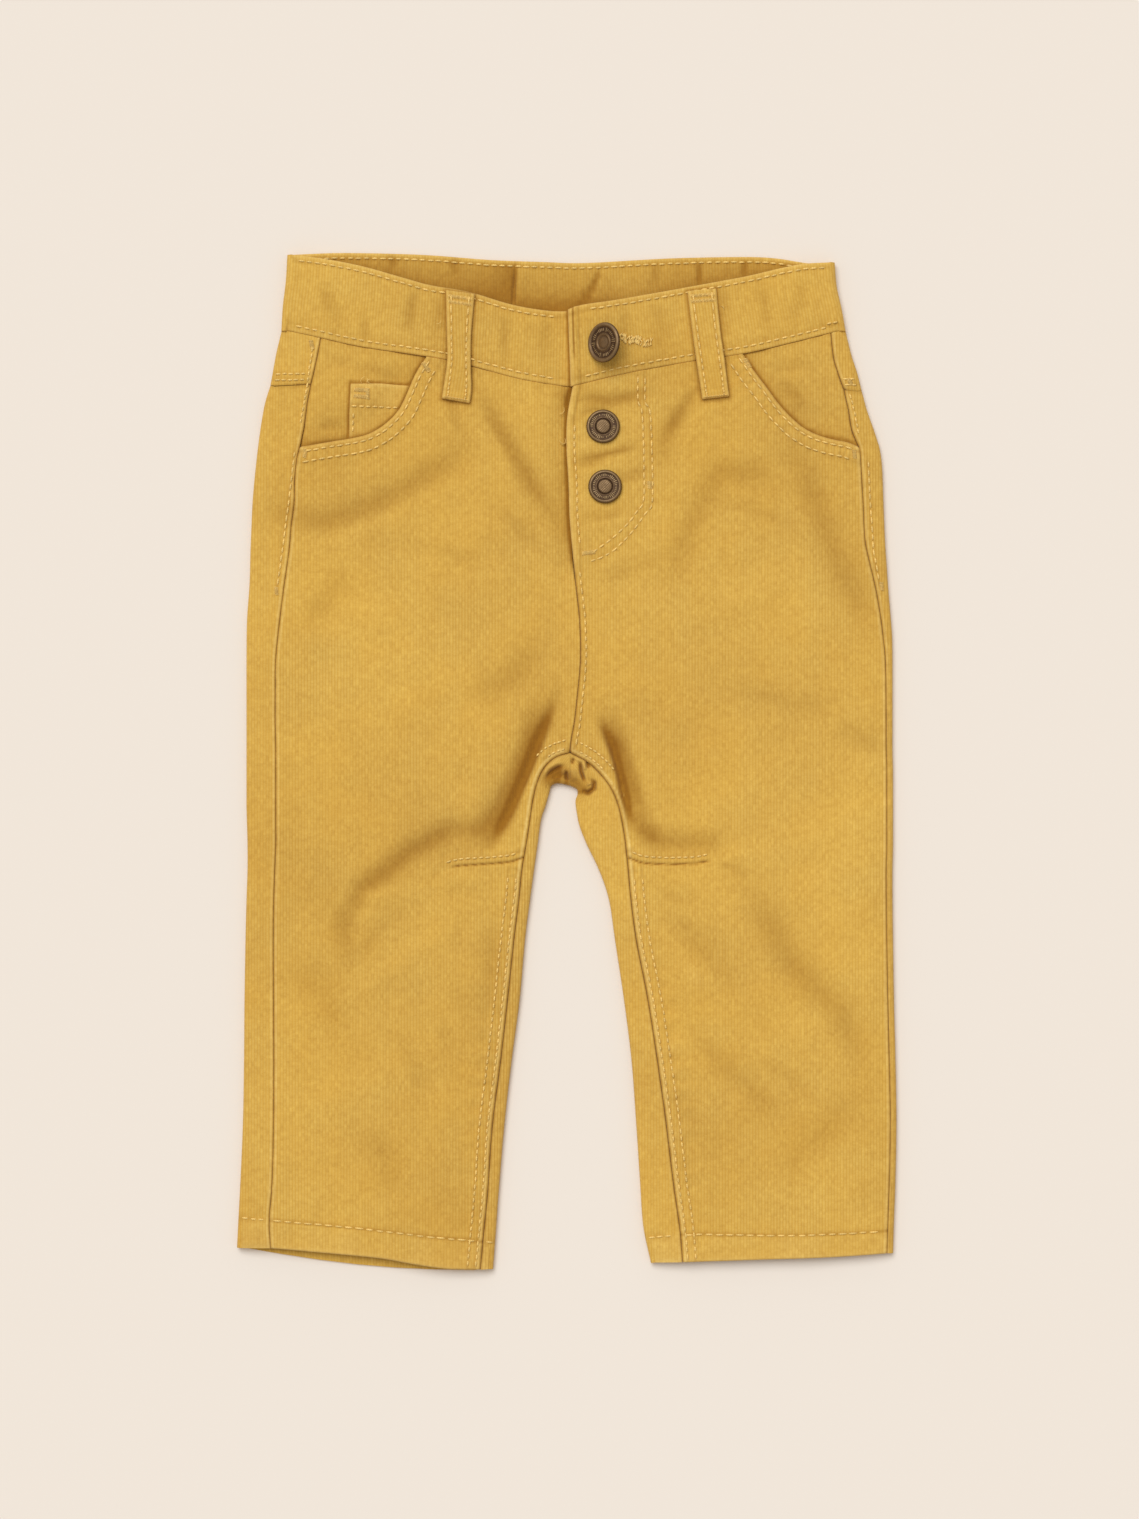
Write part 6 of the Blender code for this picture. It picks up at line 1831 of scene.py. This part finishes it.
def stitch_buttonhole():
    """The buttonhole: a cut with close leaning stitches along both lips, ragged from use."""
    start, end = np.array(BUTTONHOLE)
    run = (end - start) / np.linalg.norm(end - start)
    across = np.array([-run[1], run[0]])
    count = 42
    draw = np.random.default_rng(17)
    place = np.sort(draw.uniform(0, 1, count))[:, None]
    wave = 0.5 * np.sin(place * 14) * across
    strands = []
    for lip in (-1, 1):
        inner = start + place * (end - start) + wave + lip * 0.15 * across
        reach = draw.uniform(0.9, 1.7, (count, 1))
        outer = inner + lip * reach * across + run * draw.uniform(-0.9, 0.9, (count, 1))
        part = np.array([0.0, 0.35, 0.7, 1.0])[:, None]
        strands.append(inner[:, None] + part * (outer - inner)[:, None])
    plan = np.concatenate(strands)
    height = band_front(plan, "lap")[0] + 0.22 + draw.uniform(0, 0.25, (len(plan), 1))
    thread_piece("buttonhole_stitching", level(plan, height), 0.25)


stitch_buttonhole()

# Loose ends of thread: where each starts, where it lies and how high its end stands.
LOOSE_ENDS = (
    ((-81.8, 150.6), (-80.6, 153.4), 0.9), ((-79.6, 150.6), (-78.4, 152.4), 0.7),
    ((-77.6, 150.6), (-79.4, 152.8), 0.5), ((-1, 141.2), (-2.8, 138.6), 0.8),
    ((0.2, 127.4), (-2.8, 128), 0.6), ((-0.6, 129), (-1.8, 126.4), 0.4),
    ((-50, 176), (-51.8, 174.4), 0.6), ((61.6, 181.6), (62.8, 180.4), 0.5),
)


def loose_ends():
    """Short ends of thread that curl out of the seams."""
    part = np.linspace(0, 1, 4)[:, None]
    paths = []
    for start, end, lift in LOOSE_ENDS:
        start, end = np.array(start), np.array(end)
        across = np.array([start[1] - end[1], end[0] - start[0]]) * 0.3
        plan = start + part * (end - start) + np.sin(part * np.pi) * across
        paths.append(level(plan, lift * np.sin(part[:, 0] * 2.2)))
    paths = np.array(paths)
    facing = paths[..., 0] < -70
    band = paths[..., 1] > 170
    plan = paths[..., :2]
    seat = np.where(facing, coin_form(plan), front_form(plan, -1) + 0.4)
    seat = np.where(band, band_form(plan, 1) + 0.1, seat)
    paths[..., 2] += seat.max(axis=1, keepdims=True) + 0.1
    thread_piece("loose_thread_ends", paths, 0.13)


loose_ends()


# The buttons.
# A brass shank button tipped in its buttonhole, and two brass snap caps on the fly. Each is turned,
# with a rolled rim, a ring of plain raised strokes and a grooved centre, and darkened by age.

BRASS_DARK = (0.055, 0.024, 0.009, 1.0)
BRASS_TONE = (0.160, 0.089, 0.038, 1.0)
BRASS_RUBBED = (0.49, 0.335, 0.155, 1.0)
BUTTON_ANGLES = 240
BUTTON_STROKES = 40
BUTTON_PLACE = (15.0, 166.4)
BUTTON_TILT = np.radians(40.0)
# Radius and height of each turned profile, from the middle of its back to the middle of its face.
BUTTON_PROFILE = (
    (0, -4.4), (2.4, -4.4), (2.6, -4.1), (2.6, -1.4), (2.9, -1.2), (6.9, -1), (7.6, -0.6), (8, 0.1),
    (7.9, 0.6), (7.4, 1), (6.9, 1.1), (6.5, 0.9), (6.2, 0.6), (5.9, 0.55), (5.2, 0.55), (4.4, 0.55),
    (3.9, 0.55), (3.6, 0.6), (3.4, 0.85), (3.1, 0.9), (2.8, 0.7), (2.5, 0.55), (1.6, 0.75), (0.7, 0.85),
    (0, 0.85),
)
CAP_PROFILE = (
    (0, 0), (5.6, 0), (6.2, 0.1), (6.6, 0.5), (6.7, 1), (6.5, 1.6), (6.1, 1.95), (5.7, 2),
    (5.4, 1.8), (5.2, 1.65), (4.9, 1.62), (4.4, 1.64), (3.9, 1.66), (3.6, 1.68), (3.4, 1.7), (3.2, 1.5),
    (3, 1.35), (2.8, 1.5), (2.6, 1.85), (2.3, 1.95), (1.5, 2), (0.7, 2.02), (0, 2.02),
)
PROFILE_CORNERS = (0, 1, 7)


def antique_brass():
    """Old brass: dark in the hollows, rubbed bright where it stands up, mottled, finely scratched."""
    made, tree = material("antique_brass")
    marks = attribute_parts(tree, "wear")
    place = node(tree, "ShaderNodeTexCoord").outputs["Object"]
    patina = uneven(tree, place, 620, 0, 1)
    speck = uneven(tree, place, 3200, 0.82, 1.16)
    tone = mixed(tree, math_node(tree, patina, 0.55), BRASS_TONE, BRASS_DARK)
    rubbed = mixed(tree, marks[0], tone, BRASS_RUBBED)
    hollow = mixed(tree, marks[1], rubbed, BRASS_DARK)
    shade = node(tree, "ShaderNodeCombineXYZ", {0: speck, 1: speck, 2: speck}).outputs[0]
    colour = mixed(tree, 1, hollow, shade, "MULTIPLY")
    rough = uneven(tree, place, 900, 0.38, 0.6)
    bump = node(tree, "ShaderNodeBump", {"Height": speck, "Strength": 0.25, "Distance": 0.0001})
    surface(tree, {
        "Base Color": colour, "Metallic": 0.6, "Roughness": rough, "Normal": bump.outputs[0],
    })
    return made


ANTIQUE_BRASS = antique_brass()


def turned_button(name, replaced, profile, strokes_from, strokes_to, knurled, place, tilt, seed):
    """A turned piece: its profile carried round a circle. A ring of strokes stands up by
    h max(0, cos(n a)) between two radii, and a knurled centre by h cos(k x) cos(k y)."""
    profile = curve(profile, PROFILE_CORNERS, steps=3)
    radius, height = np.maximum(profile[:, :1], 0), profile[:, 1:]
    rim = radius[:, 0].argmax()
    on_face = (np.arange(len(profile)) > rim)[:, None]
    angle = np.linspace(0, 2 * np.pi, BUTTON_ANGLES, endpoint=False)[None]
    draw = np.random.default_rng(seed)
    groups = smooth_step(np.abs(np.sin(2 * angle + draw.uniform(0, 3))) * 6)
    lengths = 0.6 + 0.4 * np.sin(7 * angle + draw.uniform(0, 6)) * np.sin(3 * angle + 1)
    wave = smooth_step(np.cos(BUTTON_STROKES * angle) * 0.9 + 0.35)
    middle, reach = (strokes_from + strokes_to) / 2, (strokes_to - strokes_from) / 2
    ring = smooth_step((reach * lengths - np.abs(radius - middle)) / 0.3 + 0.5)
    strokes = wave * groups * ring * on_face
    x, y = radius * np.cos(angle), radius * np.sin(angle)
    knurl = np.cos(6.2 * x) * np.cos(6.2 * y) * smooth_step((knurled - radius) / 0.4) * on_face
    lift = height + 0.14 * strokes + 0.05 * knurl
    lean = np.cos(tilt), np.sin(tilt)
    points = np.stack([x * lean[0] - lift * lean[1], y, x * lean[1] + lift * lean[0]], axis=-1)
    points += [*place, 0]
    points[..., 2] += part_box(replaced)[0][2] * 1000 - points[..., 2].min()
    hollow = np.interp(radius, *button_hollows(profile[rim:])) * on_face
    raised = np.clip(0.75 * strokes + 0.3 * np.maximum(knurl, 0) + 0.1, 0, 1) * on_face
    near_rim = bell(radius - radius.max() + 0.7, 0.35) * on_face
    raised = np.clip(raised + 0.18 * near_rim, 0, 1)
    in_ring = smooth_step((reach + 0.3 - np.abs(radius - middle)) / 0.3)
    hollow = np.clip(hollow + 0.75 * in_ring * (1 - strokes) * on_face + (1 - on_face) * 0.5, 0, 1)
    wear = np.stack([raised, hollow * (1 - 0.6 * raised), 0 * raised], axis=-1)
    close_turned(name, replaced, points, wear)


def button_hollows(face):
    """How dark each radius of a turned face is: darkest where its profile is lowest."""
    order = np.argsort(face[:, 0])
    radius, height = face[order, 0], face[order, 1]
    return radius, np.clip((np.median(height) - height) / 0.25, 0, 1)


def close_turned(name, replaced, points, wear):
    """A turned grid as a closed mesh: each end of the profile is one point."""
    rows, columns = points.shape[:2]
    index = np.arange(rows * columns).reshape(rows, columns)
    index[0], index[-1] = index[0, 0], index[-1, 0]
    used, faces = np.unique(whole_triangles(tube(index)), return_inverse=True)
    faces = faces.reshape(-1, 3)
    points, wear = points.reshape(-1, 3)[used], wear.reshape(-1, 3)[used]
    made = new_piece(name, points, faces, ANTIQUE_BRASS, wear=wear)
    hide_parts(replaced)


turned_button("shank_button", "waist_button", BUTTON_PROFILE, 4.1, 6.1, 0.0, BUTTON_PLACE, BUTTON_TILT, 3)
turned_button("cap_upper", "snap_cap_upper", CAP_PROFILE, 3.7, 5.3, 2.7, (14.6, 133.6), 0.0, 4)
turned_button("cap_lower", "snap_cap_lower", CAP_PROFILE, 3.7, 5.3, 2.7, (15.4, 109.6), 0.0, 5)
